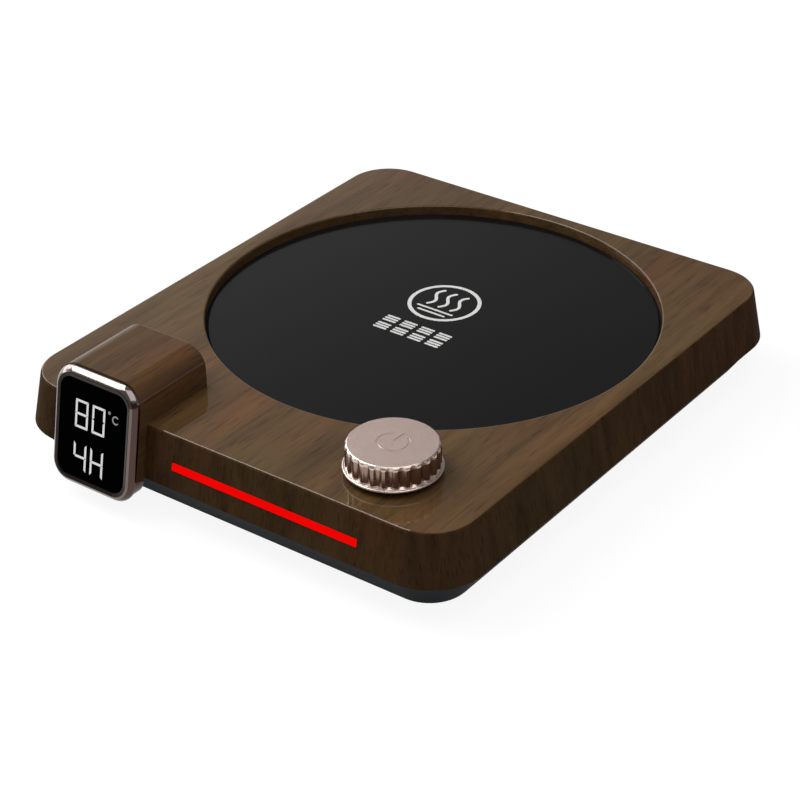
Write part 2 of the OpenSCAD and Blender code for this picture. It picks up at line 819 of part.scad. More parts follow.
module thermal_fuse() {
    color("#d8d9da") translate([fuse_x - fuse_l / 2, plate_y + fuse_y, tray_z - fuse_r])
        rotate([0, 90, 0]) cylinder(r = fuse_r, h = fuse_l);
}

// ---- electronics ----

module control_board() {
    color("#1f5a38") difference() {
        translate([0, board_y, board_z]) rounded_plate(board_w, board_d, 2, board_t, small_fn);
        at_board_holes() cylinder(r = m2[0] + screw_clear, h = top_z, $fn = small_fn);
    }
}

module board_screws() {
    color("#8d8f92") at_board_holes() translate([0, 0, board_top]) mirror([0, 0, 1])
        screw_up(m2, board_t + standoff_h - tip_gap);
}

// Something standing on the control board, at a place measured from the board's own centre
module on_board(at) { translate([at[0], board_y + at[1], board_top]) children(); }

module microcontroller() {
    pitch = chip_size[0] / (chip_legs + 1);
    color("#17181a") on_board(chip_at) {
        translate([-chip_size[0] / 2, -chip_size[1] / 2, chip_lift]) cube(chip_size);
        for (turn = [0:90:270], i = [1:chip_legs]) rotate(turn)
            translate([chip_size[0] / 2 - skin, -chip_size[1] / 2 + i * pitch - chip_leg[1] / 2, 0])
                cube(chip_leg);
    }
}

module power_relay() {
    color("#2a5ea8") on_board(relay_at) translate([-relay_size[0] / 2, -relay_size[1] / 2, 0])
        cube(relay_size);
}

module capacitor() {
    color("#2b2d33") on_board(can_at) cylinder(r = can_r, h = can_h);
}

module buzzer() {
    color("#141414") on_board(buzzer_at) ring(buzzer_r, buzzer_hole_r, buzzer_h);
}

module wire_connectors() {
    color("#efece2") {
        for (x = plug_xs) translate([x - plug_size[0] / 2, plug_row_y - plug_size[1] / 2, board_top])
            cube(plug_size);
        translate([plug_xs[4] - plug_size[0] / 2, plug_back_y - plug_size[1] / 2, board_top])
            cube(plug_size);
    }
}

// ---- knob and encoder ----

module encoder_body() {
    room_r = rotor_r + rotor_clear;
    color("#2d6a4a") at_knob() difference() {
        translate([-encoder_w / 2, -encoder_w / 2, encoder_z]) cube([encoder_w, encoder_w, encoder_h]);
        translate([0, 0, dome_z]) cylinder(r = room_r, h = rotor_room_top - dome_z);
        translate([0, 0, dome_z]) cylinder(r = shaft_r + run_clear, h = encoder_h + cut);
    }
}

module encoder_bushing() {
    color("#b9bcc0") at_knob() ring(bushing_r, shaft_r + run_clear, bushing_top - ceiling_z, ceiling_z);
}

module encoder_washer() {
    color("#a9acb0") at_knob() ring(washer_r, bushing_r, washer_t, top_z);
}

module encoder_nut() {
    color("#b9bcc0") at_knob() translate([0, 0, top_z + washer_t]) difference() {
        cylinder(d = nut_af / cos(30), h = nut_t, $fn = 6);
        translate([0, 0, -cut]) cylinder(r = bushing_r, h = nut_t + 2 * cut);
    }
}

// The stem's section, a circle with one flat, grown all round by gap
module stem_section(gap) {
    difference() {
        circle(stem_r + gap);
        translate([stem_flat + gap, -stem_r * 2]) square([stem_r * 2, stem_r * 4]);
    }
}

module encoder_rotor() {
    color("#d9d6cc") at_knob() translate([0, 0, rotor_z]) difference() {
        cylinder(r = rotor_r, h = rotor_h);
        translate([0, 0, -cut]) linear_extrude(rotor_h + 2 * cut) stem_section(run_clear);
    }
}

module encoder_shaft() {
    color("#c3c6ca") at_knob() {
        translate([0, 0, stem_z]) linear_extrude(shoulder_z - stem_z + skin) stem_section(0);
        translate([0, 0, shoulder_z]) cylinder(r = shaft_r, h = shaft_top - shoulder_z);
    }
}

module switch_dome() {
    color("#c9a640") at_knob() translate([0, 0, dome_z]) cylinder(r1 = dome_r, r2 = dome_top_r, h = dome_h);
}

module knob_board() {
    color("#1f5a38") at_knob() translate([0, 0, encoder_z - knob_board_t])
        rounded_plate(knob_board_w, knob_board_d, small_corner_r, knob_board_t, small_fn);
}

// Power symbol: an open ring and a bar that points away from the user
module power_icon(depth) {
    difference() {
        ring(icon_r, icon_r - icon_w, depth);
        translate([-icon_w * 1.6, 0, -cut]) cube([icon_w * 3.2, icon_r * 2, depth + 2 * cut]);
    }
    translate([-icon_w / 2, icon_r * 0.15, 0]) cube([icon_w, icon_r * 0.95, depth]);
}

module knob() {
    skirt_r = knob_d / 2;
    flange_r = skirt_r + knob_rim;
    cavity_r = skirt_r - skirt_t;
    hub_r = shaft_r + insert_t + hub_t;
    flute_at = skirt_r + flute_r - flute_depth;
    color("#c39c8b") at_knob() difference() {
        union() {
            rotate_extrude() polygon([
                [cavity_r, flange_z], [flange_r - flange_edge, flange_z], [flange_r, flange_z + flange_edge],
                [flange_r, flange_z + flange_t - flange_edge], [flange_r - flange_edge, flange_z + flange_t],
                [skirt_r, flange_z + flange_t], [skirt_r, knob_top - knob_chamfer],
                [skirt_r - knob_chamfer, knob_top], [0, knob_top], [0, shaft_top], [cavity_r, shaft_top]
            ]);
            ring(hub_r, shaft_r + insert_t, shaft_top - hub_z + skin, hub_z);
        }
        for (i = [0:flutes - 1]) rotate(i * 360 / flutes)
            translate([flute_at, 0, flange_z + flange_t + flute_foot])
                cylinder(r = flute_r, h = knob_h, $fn = small_fn);
        translate([0, 0, knob_top - icon_depth]) power_icon(icon_depth + cut);
    }
}

module knob_insert() {
    color("#e6e2d8") at_knob() ring(shaft_r + insert_t, shaft_r, shaft_top - hub_z, hub_z);
}

// ---- light bar ----

module light_bar_lens() {
    color("#ff1010") at_front_wall(bar_x, bar_z) {
        translate([0, 0, -wall_depth])
            rounded_plate(bar_l, bar_h, bar_corner_r, wall_depth + lens_proud, small_fn);
        translate([0, 0, -wall_depth - lens_flange_t])
            rounded_plate(bar_l + 2 * lens_flange, bar_h + 2 * lens_flange, lens_flange_r, lens_flange_t,
                          small_fn);
    }
}

module light_bar_leds() {
    pitch = bar_l / led_count;
    color("#f4e9b0") at_front_wall(bar_x, bar_z) for (i = [0:led_count - 1])
        translate([-bar_l / 2 + pitch * (i + 0.5) - led_size[0] / 2, -led_size[1] / 2,
                   -wall_depth - lens_flange_t - led_size[2]]) cube(led_size);
}

module light_bar_board() {
    color("#e8e8e2") at_front_wall(bar_x, bar_z)
        translate([0, 0, -wall_depth - lens_flange_t - led_size[2] - strip_t])
            rounded_plate(bar_l + 2 * lens_flange, strip_h, small_corner_r, strip_t, small_fn);
}

// ---- power inlet ----

module power_inlet() {
    color("#161616") difference() {
        union() {
            at_inlet(inlet_seat_y) cylinder(r = inlet_flange_r, h = inlet_flange_t);
            at_inlet(inlet_seat_y - inlet_len) cylinder(r = inlet_barrel_r, h = inlet_len + skin);
            for (s = [-1, 1])
                translate([inlet_x + s * tab_gap / 2 - tab[2] / 2, inlet_seat_y - inlet_len - tab[1],
                           inlet_z - tab[0] / 2]) cube([tab[2], tab[1] + skin, tab[0]]);
        }
        at_inlet(inlet_floor_y) cylinder(d = inlet_bore, h = inlet_pin_l + inlet_flange_t + cut);
    }
}

module inlet_pin() {
    color("#d4d6d8") at_inlet(inlet_floor_y) cylinder(d = inlet_pin_d, h = inlet_pin_l);
}

module inlet_nut() {
    color("#b9bcc0") at_inlet(inlet_pad_y - inlet_nut_t) difference() {
        cylinder(d = inlet_nut_af / cos(30), h = inlet_nut_t, $fn = 6);
        translate([0, 0, -cut]) cylinder(r = inlet_barrel_r, h = inlet_nut_t + 2 * cut);
    }
}

// ---- internal leads ----

module heater_leads() {
    start_y = plate_y + terminal_y + terminal_r + lead_r;
    color("#c9c9c4") for (s = [-1, 1])
        lead([s * terminal_gap / 2, start_y, tray_z - terminal_drop / 2 - lead_r], [0, end_pull, 0],
             [plug_xs[2] + s * lead_gap, plug_row_y - plug_size[1] / 2, lead_z], [0, -near_pull, 0]);
}

module inlet_leads() {
    start_y = inlet_seat_y - inlet_len - tab[1] / 2;
    color("#b02a2a") for (s = [-1, 1])
        lead([inlet_x + s * tab_gap / 2, start_y, inlet_z - tab[0] / 2], [0, 0, -near_pull],
             [plug_xs[4] + s * lead_gap, plug_back_y + plug_size[1] / 2, lead_z], [0, near_pull, 0],
             up_hint = [1, 0.02, 0.03]);
}

module display_leads() {
    color("#8a8d90") lead(
        [-head_x, -(body_d / 2 + (top_z - pass_z) * lean), pass_z], [0, far_pull, 0],
        [plug_xs[0], plug_row_y - plug_size[1] / 2, lead_z], [0, -far_pull, 0],
        display_ribbon_w, ribbon_t);
}

module knob_leads() {
    color("#8a8d90") lead(
        [knob_x, -knob_y, encoder_z - knob_board_t - ribbon_t], [0, near_pull, -sag],
        [plug_xs[4], plug_row_y - plug_size[1] / 2, lead_z], [0, -near_pull, 0],
        knob_ribbon_w, ribbon_t);
}

module light_leads() {
    strip_back = wall_depth + lens_flange_t + led_size[2] + strip_t + ribbon_t;
    color("#8a8d90") lead(
        [bar_x, strip_back - (body_d / 2 + bar_drop * lean), bar_z], [0, near_pull, -sag],
        [plug_xs[3], plug_row_y - plug_size[1] / 2, lead_z], [0, -far_pull, 0],
        light_ribbon_w, ribbon_t);
}

module sensor_leads() {
    color("#c7a24a") lead(
        [0, plate_y, tray_z - 2 * ribbon_t], [-near_pull, -sag, 0],
        [plug_xs[1], plug_row_y + plug_size[1] / 2, lead_z], [0, near_pull, 0],
        sensor_ribbon_w, ribbon_t);
}

place() top_shell();
place() display_hood();
place() display_bezel();
place() display_window();
place() display_module();
place() display_digits();
place() hood_screws();
place() base_cover();
place() rubber_feet();
place() housing_screws();
place() glass_plate();
place() plate_seal();
place() heat_spreader();
place() heating_element();
place() mica_sheet();
place() insulation_felt();
place() heater_tray();
place() tray_screws();
place() thermistor();
place() thermal_fuse();
place() control_board();
place() board_screws();
place() microcontroller();
place() power_relay();
place() capacitor();
place() buzzer();
place() wire_connectors();
place() encoder_body();
place() encoder_bushing();
place() encoder_washer();
place() encoder_nut();
place() encoder_rotor();
place() encoder_shaft();
place() switch_dome();
place() knob_board();
place() knob();
place() knob_insert();
place() light_bar_lens();
place() light_bar_board();
place() light_bar_leds();
place() power_inlet();
place() inlet_pin();
place() inlet_nut();
place() heater_leads();
place() inlet_leads();
place() display_leads();
place() knob_leads();
place() light_leads();
place() sensor_leads();
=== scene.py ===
"""Electric mug warmer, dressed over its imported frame. Metres, +Z up, front -Y."""

from math import cos, pi, radians, sin, sqrt, tan

import bmesh
import bpy
from mathutils import Matrix, Vector


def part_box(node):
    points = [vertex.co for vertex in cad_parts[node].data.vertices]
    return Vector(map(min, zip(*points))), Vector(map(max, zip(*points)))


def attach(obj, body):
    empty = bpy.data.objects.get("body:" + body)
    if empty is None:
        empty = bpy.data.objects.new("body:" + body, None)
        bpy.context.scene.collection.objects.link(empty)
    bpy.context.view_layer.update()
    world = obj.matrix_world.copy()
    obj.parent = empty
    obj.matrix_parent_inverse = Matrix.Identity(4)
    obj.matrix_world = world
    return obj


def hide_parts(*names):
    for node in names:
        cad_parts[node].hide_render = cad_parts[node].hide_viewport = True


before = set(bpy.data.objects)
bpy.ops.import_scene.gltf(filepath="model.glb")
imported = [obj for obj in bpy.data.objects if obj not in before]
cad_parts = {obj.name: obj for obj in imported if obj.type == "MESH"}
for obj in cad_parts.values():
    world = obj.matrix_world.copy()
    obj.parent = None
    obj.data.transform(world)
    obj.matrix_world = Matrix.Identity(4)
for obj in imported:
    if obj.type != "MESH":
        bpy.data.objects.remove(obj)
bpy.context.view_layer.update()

MM = 0.001

# ---- sizes: places come from the frame, the rest are the object's own forms ----


def middle(node):
    """The middle of a node's box at rest."""
    low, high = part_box(node)
    return (low + high) / 2


# housing
shell_low, shell_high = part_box("top_shell")
house_y = (shell_low.y + shell_high.y) / 2
top_z = shell_high.z
wall_h = 14.7 * MM
shell_z = top_z - wall_h
draft = radians(10.8)
lean = tan(draft)
top_w = shell_high.x - shell_low.x - 2 * wall_h * lean
top_d = shell_high.y - shell_low.y - 2 * wall_h * lean
corner_r = 12.7 * MM
edge_r = 0.85 * MM
shell_t = 2.2 * MM
foot_edge_r = 0.4 * MM

# base pan
base_low, base_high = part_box("base_cover")
base_top_w = base_high.x - base_low.x
base_top_d = base_high.y - base_low.y
base_setback = 0.8 * MM
base_top_r = corner_r + wall_h * lean - base_setback
base_taper = 6.4 * MM
base_low_r = 10 * MM
base_edge_r = 0.7 * MM
base_t = 2 * MM
screw_head_r = 2.7 * MM
screw_pocket_r = 2.9 * MM
screw_pocket_depth = 2.2 * MM
foot_r = 5 * MM
foot_pocket_depth = 0.8 * MM
cut_clearance = 1 * MM

# plate and its well
plate_at = middle("glass_plate")
glass_low, glass_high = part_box("glass_plate")
glass_r = (glass_high.x - glass_low.x) / 2
glass_edge_r = 0.35 * MM
seal_low, seal_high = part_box("plate_seal")
well_r = (seal_high.x - seal_low.x) / 2
ledge_w = 6 * MM
ledge_t = 3.2 * MM
ledge_r = well_r - ledge_w
ledge_z = seal_low.z - ledge_t
rim_r = 0.5 * MM

# printed mark, measured from the plate's middle
print_t = 0.03 * MM
mark_at = Vector((-1.6, 7.6)) * MM
mark_r = 10.2 * MM
mark_line = 1.1 * MM
steam_pitch = 3.9 * MM
steam_sway = 1.0 * MM
steam_low = -2.6 * MM
steam_h = 8.4 * MM
steam_line = 0.9 * MM
# each bar's height and half its length
saucer_bars = ((-4.6 * MM, 5.6 * MM), (-6.4 * MM, 4.2 * MM))
saucer_line = 0.7 * MM
dash_left = -10 * MM
dash_w = 3.6 * MM
dash_pitch = 5.7 * MM
dash_columns = 4
dash_top = -7.9 * MM
dash_drop = 4.3 * MM
dash_rows = 2
dash_gap = 1.15 * MM
dash_line = 0.75 * MM

# display head
bezel_low, bezel_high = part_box("display_bezel")
head_x = (bezel_low.x + bezel_high.x) / 2
head_w = bezel_high.x - bezel_low.x
hood_low, hood_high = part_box("display_hood")
head_h = hood_high.z - hood_low.z
head_z = (hood_low.z + hood_high.z) / 2
head_r = 6 * MM
head_proud = 5.2 * MM
head_y = house_y - top_d / 2 - (top_z - head_z) * lean - head_proud
hood_back_y = hood_high.y
hood_edge_r = 0.7 * MM
face_h = head_h / cos(draft)
bezel_depth = 2.2 * MM
bezel_reach = 1.7 * MM
bezel_corner = 0.45 * MM
bezel_line = 0.42 * MM
bezel_lip = 0.05 * MM
bezel_step = 1.2 * MM
bezel_slope_from = radians(20)
bezel_slope_to = radians(62)
bezel_top_tilt = 0.35  # a face whose normal points up by more than this wears the lighter top band, a painted highlight
window_low, window_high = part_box("display_window")
window_w = window_high.x - window_low.x
end_rim = 2.6 * MM
side_rim = 2.35 * MM
window_h = face_h - 2 * end_rim
window_r = head_r - side_rim
window_sink = 0.3 * MM
window_t = 1.2 * MM

# lit signs, measured from the display's middle
digit_w = 4.3 * MM
digit_h = 7.7 * MM
digit_stroke = 0.62 * MM
digit_gap = 0.12 * digit_stroke
digit_columns = (-6.05 * MM, -0.35 * MM)
digit_rows = (0.36 * MM, -11.44 * MM)
sign_t = 0.05 * MM
sign_proud = 0.07 * MM
sign_low = -window_sink + sign_proud - sign_t
degree_at = Vector((5.3, 7.61)) * MM
degree_radii = (0.16 * MM, 0.42 * MM)
letter_at = Vector((7.45, 6.21)) * MM
letter_size = Vector((0.95, 1.0)) * MM
letter_gap = radians(48)
letter_line = 0.38 * MM

# knob
knob_low, knob_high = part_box("knob")
knob_at = middle("knob")
flange_r = (knob_high.x - knob_low.x) / 2
flange_t = 0.7 * MM
flange_fillet = 0.05 * MM
flange_reach = 0.7 * MM
skirt_r = flange_r - flange_reach
knob_round = 1.25 * MM
knob_crease = radians(62)
skirt_low = knob_low.z + flange_t
skirt_top = knob_high.z - knob_round * sin(knob_crease)
flutes = 25
flute_cutter_r = 1.3 * MM
flute_depth = 0.5 * MM
flute_runout = 0.5 * MM
crown_lip = 0.12 * MM
crown_r = skirt_r - knob_round * (1 - cos(knob_crease)) - flute_depth - crown_lip
knob_wall_t = 2.2 * MM
knob_roof_t = 1.3 * MM
cavity_r = skirt_r - knob_wall_t
roof_z = knob_high.z - knob_roof_t
icon_r = 3.95 * MM
icon_line = 0.6 * MM
icon_depth = 0.12 * MM
icon_gap = radians(34)
icon_bar = (0.9 * MM, 4.4 * MM)

# power inlet
inlet_at = middle("inlet_pin")
inlet_seat_y = house_y + top_d / 2
inlet_recess_r = 6.5 * MM
inlet_recess_reach = 10 * MM
inlet_bore_r = 4 * MM
inlet_bore_from = 5 * MM
inlet_bore_reach = 8 * MM

# ---- mesh building ----

CORNER_STEPS = 14
ROUND_STEPS = 192
CUTTER_STEPS = 64
POCKET_STEPS = 48
SIGN_STEPS = 24
MARK_STEPS = 96
PATH_END_STEPS = 8
SHELL_EDGE_STEPS = 8
SHELL_EDGE_TOP_BANDS = 3  # the edge's last bands, which wear the top film; its lower bands wear the darker wall copy, painted shade
WELL_RIM_STEPS = 3
BASE_EDGE_STEPS = 4
HOOD_EDGE_STEPS = 5
BEZEL_EDGE_STEPS = 36
GLASS_EDGE_STEPS = 4
KNOB_STEPS = 16 * flutes
FLANGE_STEPS = 8
RUNOUT_STEPS = 5
SHOULDER_STEPS = 10
ICON_STEPS = 64


def rounded_rect(width, depth, radius, z=0.0):
    """Points round a rounded rectangle at height z, anticlockwise."""
    radius = max(radius, 0.01 * MM)
    points = []
    for quarter, (sx, sy) in enumerate(((1, 1), (-1, 1), (-1, -1), (1, -1))):
        centre = Vector((sx * (width / 2 - radius), sy * (depth / 2 - radius), z))
        for i in range(CORNER_STEPS + 1):
            turn = (quarter + i / CORNER_STEPS) * pi / 2
            points.append(centre + radius * Vector((cos(turn), sin(turn), 0)))
    return points


def circle(radius, z, steps=ROUND_STEPS):
    """Points round a circle at height z, anticlockwise."""
    turns = [2 * pi * i / steps for i in range(steps)]
    return [Vector((radius * cos(turn), radius * sin(turn), z)) for turn in turns]


def open_ring(centre, size, facing, gap, steps):
    """Points round an ellipse that stays open by the angle gap to both sides of facing."""
    points = []
    for i in range(steps + 1):
        turn = facing + gap + (2 * pi - 2 * gap) * i / steps
        points.append((centre.x + size.x * cos(turn), centre.y + size.y * sin(turn)))
    return points


def edge_arc(radius, steps):
    """(inset, drop) pairs round a rounded edge, from the side up to the face."""
    turns = [i / steps * pi / 2 for i in range(steps + 1)]
    return [(radius * (1 - cos(turn)), radius * (1 - sin(turn))) for turn in turns]


def moved(points, offset):
    return [p + Vector(offset) for p in points]


def loft(bm, loops, paint=None, close=False):
    """Joins neighbouring loops with quads, a material index per band, and gives the vertices."""
    rows = [[bm.verts.new(p) for p in loop] for loop in loops]
    upper = rows[1:] + rows[:1] if close else rows[1:]
    for band, (low, high) in enumerate(zip(rows, upper)):
        for i in range(len(low)):
            j = (i + 1) % len(low)
            face = bm.faces.new((low[i], low[j], high[j], high[i]))
            face.material_index = paint[band] if paint else 0
    return rows


def cap(bm, loop, material=0):
    """Closes a loop of vertices with one face."""
    face = bm.faces.new(loop)
    face.material_index = material


def fill_between(bm, outer, inner, material=0):
    """Fills the flat area between two loops of vertices."""
    edges = []
    for loop in (outer, inner):
        for a, b in zip(loop, loop[1:] + loop[:1]):
            edges.append(bm.edges.get((a, b)) or bm.edges.new((a, b)))
    made = bmesh.ops.triangle_fill(bm, use_beauty=True, use_dissolve=False, edges=edges)
    for item in made["geom"]:
        if isinstance(item, bmesh.types.BMFace):
            item.material_index = material


def closed_loft(bm, loops):
    """A loft with both its ends capped."""
    rows = loft(bm, loops)
    cap(bm, rows[0])
    cap(bm, rows[-1])


def flat_shape(bm, outline, z, thick):
    """A thin flat shape from height z up."""
    low = [Vector((x, y, z)) for x, y in outline]
    rows = loft(bm, [low, moved(low, (0, 0, thick))])
    cap(bm, rows[0][::-1])
    cap(bm, rows[1])


def flat_ring(bm, centre, radii, z, thick, steps):
    """A thin flat ring between two radii, from height z up."""
    low = [moved(circle(radius, z, steps), (centre.x, centre.y, 0)) for radius in radii]
    high = [moved(loop, (0, 0, thick)) for loop in low[::-1]]
    loft(bm, low + high, close=True)


def flat_stroke(bm, points, width, z, thick):
    """A thin flat line of constant width along the points, with round ends, from height z up."""
    left = []
    right = []
    for i, point in enumerate(points):
        before = points[max(i - 1, 0)]
        after = points[min(i + 1, len(points) - 1)]
        along = (Vector(after) - Vector(before)).normalized()
        across = Vector((-along.y, along.x)) * width / 2
        left.append(Vector(point) + across)
        right.append(Vector(point) - across)

    def round_end(centre, start):
        turns = [-pi * i / PATH_END_STEPS for i in range(1, PATH_END_STEPS)]
        return [Vector(centre) + Matrix.Rotation(turn, 2) @ start for turn in turns]

    outline = left + round_end(points[-1], left[-1] - Vector(points[-1]))
    outline += right[::-1] + round_end(points[0], right[0] - Vector(points[0]))
    flat_shape(bm, outline, z, thick)


def new_object(name, bm, materials=(), matrix=Matrix.Identity(4)):
    """An object in the scene with the built mesh, its normals outwards and its place baked in."""
    bmesh.ops.recalc_face_normals(bm, faces=bm.faces)
    mesh = bpy.data.meshes.new(name)
    bm.to_mesh(mesh)
    bm.free()
    mesh.transform(matrix)
    for material in materials:
        mesh.materials.append(material)
    obj = bpy.data.objects.new(name, mesh)
    bpy.context.scene.collection.objects.link(obj)
    return obj


def cylinder_cutter(radius, length, matrix, steps=CUTTER_STEPS):
    """A cylinder to cut with, from its own origin up its own Z."""
    bm = bmesh.new()
    closed_loft(bm, [circle(radius, 0, steps), circle(radius, length, steps)])
    return new_object("cutter", bm, matrix=matrix)


def carve(obj, cutters):
    """Cuts the cutters out of obj and deletes them."""
    for cutter in cutters:
        cut = obj.modifiers.new("cut", "BOOLEAN")
        cut.object = cutter
        cut.operation = "DIFFERENCE"
        cut.solver = "EXACT"
    graph = bpy.context.evaluated_depsgraph_get()
    carved = bpy.data.meshes.new_from_object(obj.evaluated_get(graph))
    obj.modifiers.clear()
    obj.data = carved
    for cutter in cutters:
        bpy.data.objects.remove(cutter)


def finish_piece(obj, replaced=(), body="root", sharp=40):
    """Smooth shading with flat faces kept flat, then the piece's body, with the CAD nodes that it
    replaces hidden.
    """
    for face in obj.data.polygons:
        face.use_smooth = True
    obj.data.set_sharp_from_angle(angle=radians(sharp))
    weighted = obj.modifiers.new("weighted normals", "WEIGHTED_NORMAL")
    weighted.keep_sharp = True
    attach(obj, body)
    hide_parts(*replaced)


# ---- materials ----


def new_material(name):
    """A node material, its tree and its shader."""
    material = bpy.data.materials.new(name)
    material.use_nodes = True
    tree = material.node_tree
    return material, tree, tree.nodes["Principled BSDF"]


def set_sockets(shader, **values):
    """Sets sockets by name, with _ for a space."""
    for name, value in values.items():
        shader.inputs[name.replace("_", " ")].default_value = value


def grey(value):
    return (value, value, value)


def scaled(colour, share):
    return tuple(min(c * share, 1) for c in colour)


def noise(tree, scale, detail, stretch=(1, 1, 1), roughness=0.55, distortion=0.0):
    """Object-space noise, drawn out along the axes where stretch is small."""
    where = tree.nodes.new("ShaderNodeTexCoord")
    mapping = tree.nodes.new("ShaderNodeMapping")
    mapping.inputs["Scale"].default_value = stretch
    texture = tree.nodes.new("ShaderNodeTexNoise")
    texture.inputs["Scale"].default_value = scale
    texture.inputs["Detail"].default_value = detail
    texture.inputs["Roughness"].default_value = roughness
    texture.inputs["Distortion"].default_value = distortion
    tree.links.new(where.outputs["Object"], mapping.inputs["Vector"])
    tree.links.new(mapping.outputs["Vector"], texture.inputs["Vector"])
    return texture.outputs["Fac"]


def ramp(tree, factor, *stops):
    """A colour ramp with (position, colour) stops."""
    node = tree.nodes.new("ShaderNodeValToRGB")
    elements = node.color_ramp.elements
    while len(elements) < len(stops):
        elements.new(1.0)
    for element, (position, colour) in zip(elements, stops):
        element.position = position
        element.color = (*colour, 1)
    tree.links.new(factor, node.inputs["Fac"])
    return node.outputs["Color"]


def multiply(tree, a, b):
    """The product of two colour sockets."""
    node = tree.nodes.new("ShaderNodeMix")
    node.data_type = "RGBA"
    node.blend_type = "MULTIPLY"
    node.inputs["Factor"].default_value = 1.0
    tree.links.new(a, node.inputs["A"])
    tree.links.new(b, node.inputs["B"])
    return node.outputs["Result"]


def bump(tree, shader, height, strength, distance):
    """Wires a height socket to the shader's normal."""
    node = tree.nodes.new("ShaderNodeBump")
    node.inputs["Strength"].default_value = strength
    node.inputs["Distance"].default_value = distance
    tree.links.new(height, node.inputs["Height"])
    tree.links.new(node.outputs["Normal"], shader.inputs["Normal"])


def wood_film(name, tint, along, coat):
    """Walnut-grain film under a clear coat; the stretch along sets the grain's direction."""
    material, tree, shader = new_material(name)
    figure = noise(tree, scale=75, detail=4, stretch=along, distortion=0.8)
    fibre = noise(tree, scale=330, detail=5, stretch=along, roughness=0.6)
    pores = noise(tree, scale=1500, detail=2, stretch=along, roughness=0.5)
    patch = noise(tree, scale=38, detail=2, stretch=tuple(0.35 + 0.65 * a for a in along))
    dark, light = scaled(tint, 0.76), scaled(tint, 1.18)
    red, olive = (1.1, 0.95, 0.88), (0.93, 1.02, 0.96)
    colour = ramp(tree, figure, (0.3, dark), (0.5, tint), (0.7, light))
    layers = [
        ramp(tree, fibre, (0.32, grey(0.7)), (0.58, grey(1.08))),
        ramp(tree, pores, (0.34, grey(0.7)), (0.43, grey(1.0))),
        ramp(tree, patch, (0.36, red), (0.5, grey(1.0)), (0.64, olive)),
    ]
    for layer in layers:
        colour = multiply(tree, colour, layer)
    tree.links.new(colour, shader.inputs["Base Color"])
    set_sockets(shader, Roughness=0.6, Specular_IOR_Level=0.0)
    set_sockets(shader, Coat_Weight=coat, Coat_Roughness=0.04, Coat_IOR=1.5)
    return material


def metal(name, colour, roughness, stretch=(1, 1, 1), wear=0.06, coat=0.0):
    """Metal with a fine grain in its colour, roughness and bump."""
    material, tree, shader = new_material(name)
    fine = noise(tree, scale=2500, detail=3, stretch=stretch)
    low, high = scaled(colour, 1 - wear), scaled(colour, 1 + wear)
    tone = ramp(tree, fine, (0.35, low), (0.65, high))
    tree.links.new(tone, shader.inputs["Base Color"])
    rough = ramp(tree, fine, (0.3, grey(roughness * 0.85)), (0.7, grey(roughness * 1.15)))
    tree.links.new(rough, shader.inputs["Roughness"])
    set_sockets(shader, Metallic=1.0, Coat_Weight=coat, Coat_Roughness=0.08)
    bump(tree, shader, fine, strength=0.03, distance=0.02 * MM)
    return material


def plastic(name, colour, roughness=0.5, texture=0.15, scale=1600, specular=0.5, spread=0.12):
    """Moulded plastic or rubber with a fine spark-eroded texture."""
    material, tree, shader = new_material(name)
    fine = noise(tree, scale, detail=3)
    broad = noise(tree, scale=60, detail=2)
    low, high = scaled(colour, 1 - spread), scaled(colour, 1 + spread)
    tone = ramp(tree, broad, (0.35, low), (0.65, high))
    tree.links.new(tone, shader.inputs["Base Color"])
    rough = ramp(tree, fine, (0.3, grey(roughness * 0.9)), (0.7, grey(min(roughness * 1.1, 1))))
    tree.links.new(rough, shader.inputs["Roughness"])
    set_sockets(shader, Specular_IOR_Level=specular)
    bump(tree, shader, fine, strength=texture, distance=0.03 * MM)
    return material


def dark_glass(name, colour, roughness, ior):
    """Black glass with a faint cloud in its tint."""
    material, tree, shader = new_material(name)
    cloud = noise(tree, scale=25, detail=2)
    tone = ramp(tree, cloud, (0.3, scaled(colour, 0.92)), (0.7, scaled(colour, 1.08)))
    tree.links.new(tone, shader.inputs["Base Color"])
    set_sockets(shader, Roughness=roughness, IOR=ior)
    return material


def lit(name, colour, spread=0.04):
    """A glowing surface, a little uneven as a diffuser is."""
    material, tree, shader = new_material(name)
    uneven = noise(tree, scale=90, detail=1)
    glow = ramp(tree, uneven, (0.35, scaled(colour, 1 - spread)), (0.65, colour))
    tree.links.new(glow, shader.inputs["Emission Color"])
    set_sockets(shader, Base_Color=(*scaled(colour, 0.02), 1), Roughness=0.6)
    set_sockets(shader, Emission_Strength=1.0, Specular_IOR_Level=0.0)
    return material


# The noise's scale by axis: small along the grain.
ALONG_Y = (1, 0.075, 1)
ALONG_Z = (1, 1, 0.09)
WALNUT = (0.09, 0.048, 0.019)
# The walls' walnut is the top's walnut darkened: painted shade.
WALL_WALNUT_SHADED = (0.053, 0.0265, 0.0105)

film_top = wood_film("wood film top", WALNUT, ALONG_Y, 0.85)
# The hood film is the top film darkened, with a thinner coat: painted shade.
film_hood_shaded = wood_film("wood film hood shaded", scaled(WALNUT, 0.82), ALONG_Y, 0.6)
# The wall film is a darker copy of the top film with a thin coat: painted shade on the walls.
film_wall_shaded = wood_film("wood film wall shaded", WALL_WALNUT_SHADED, ALONG_Z, 0.04)
rose_top = metal("rose gold satin", (0.78, 0.61, 0.55), 0.37, wear=0.04)
rose_polish = metal("rose gold polished", (0.62, 0.5, 0.44), 0.3, coat=1.0)
# The skirt's rose gold is a darker copy of the polished one: painted shade in place of the flutes'
# dark reflections.
rose_skirt_shaded = metal("rose gold skirt shaded", (0.3, 0.19, 0.15), 0.22, coat=0.5)
# The frame's rose gold is darkened in place of the rim's dark reflections: painted shade.
rose_frame_shaded = metal("rose gold frame shaded", (0.065, 0.034, 0.026), 0.14, coat=0.4)
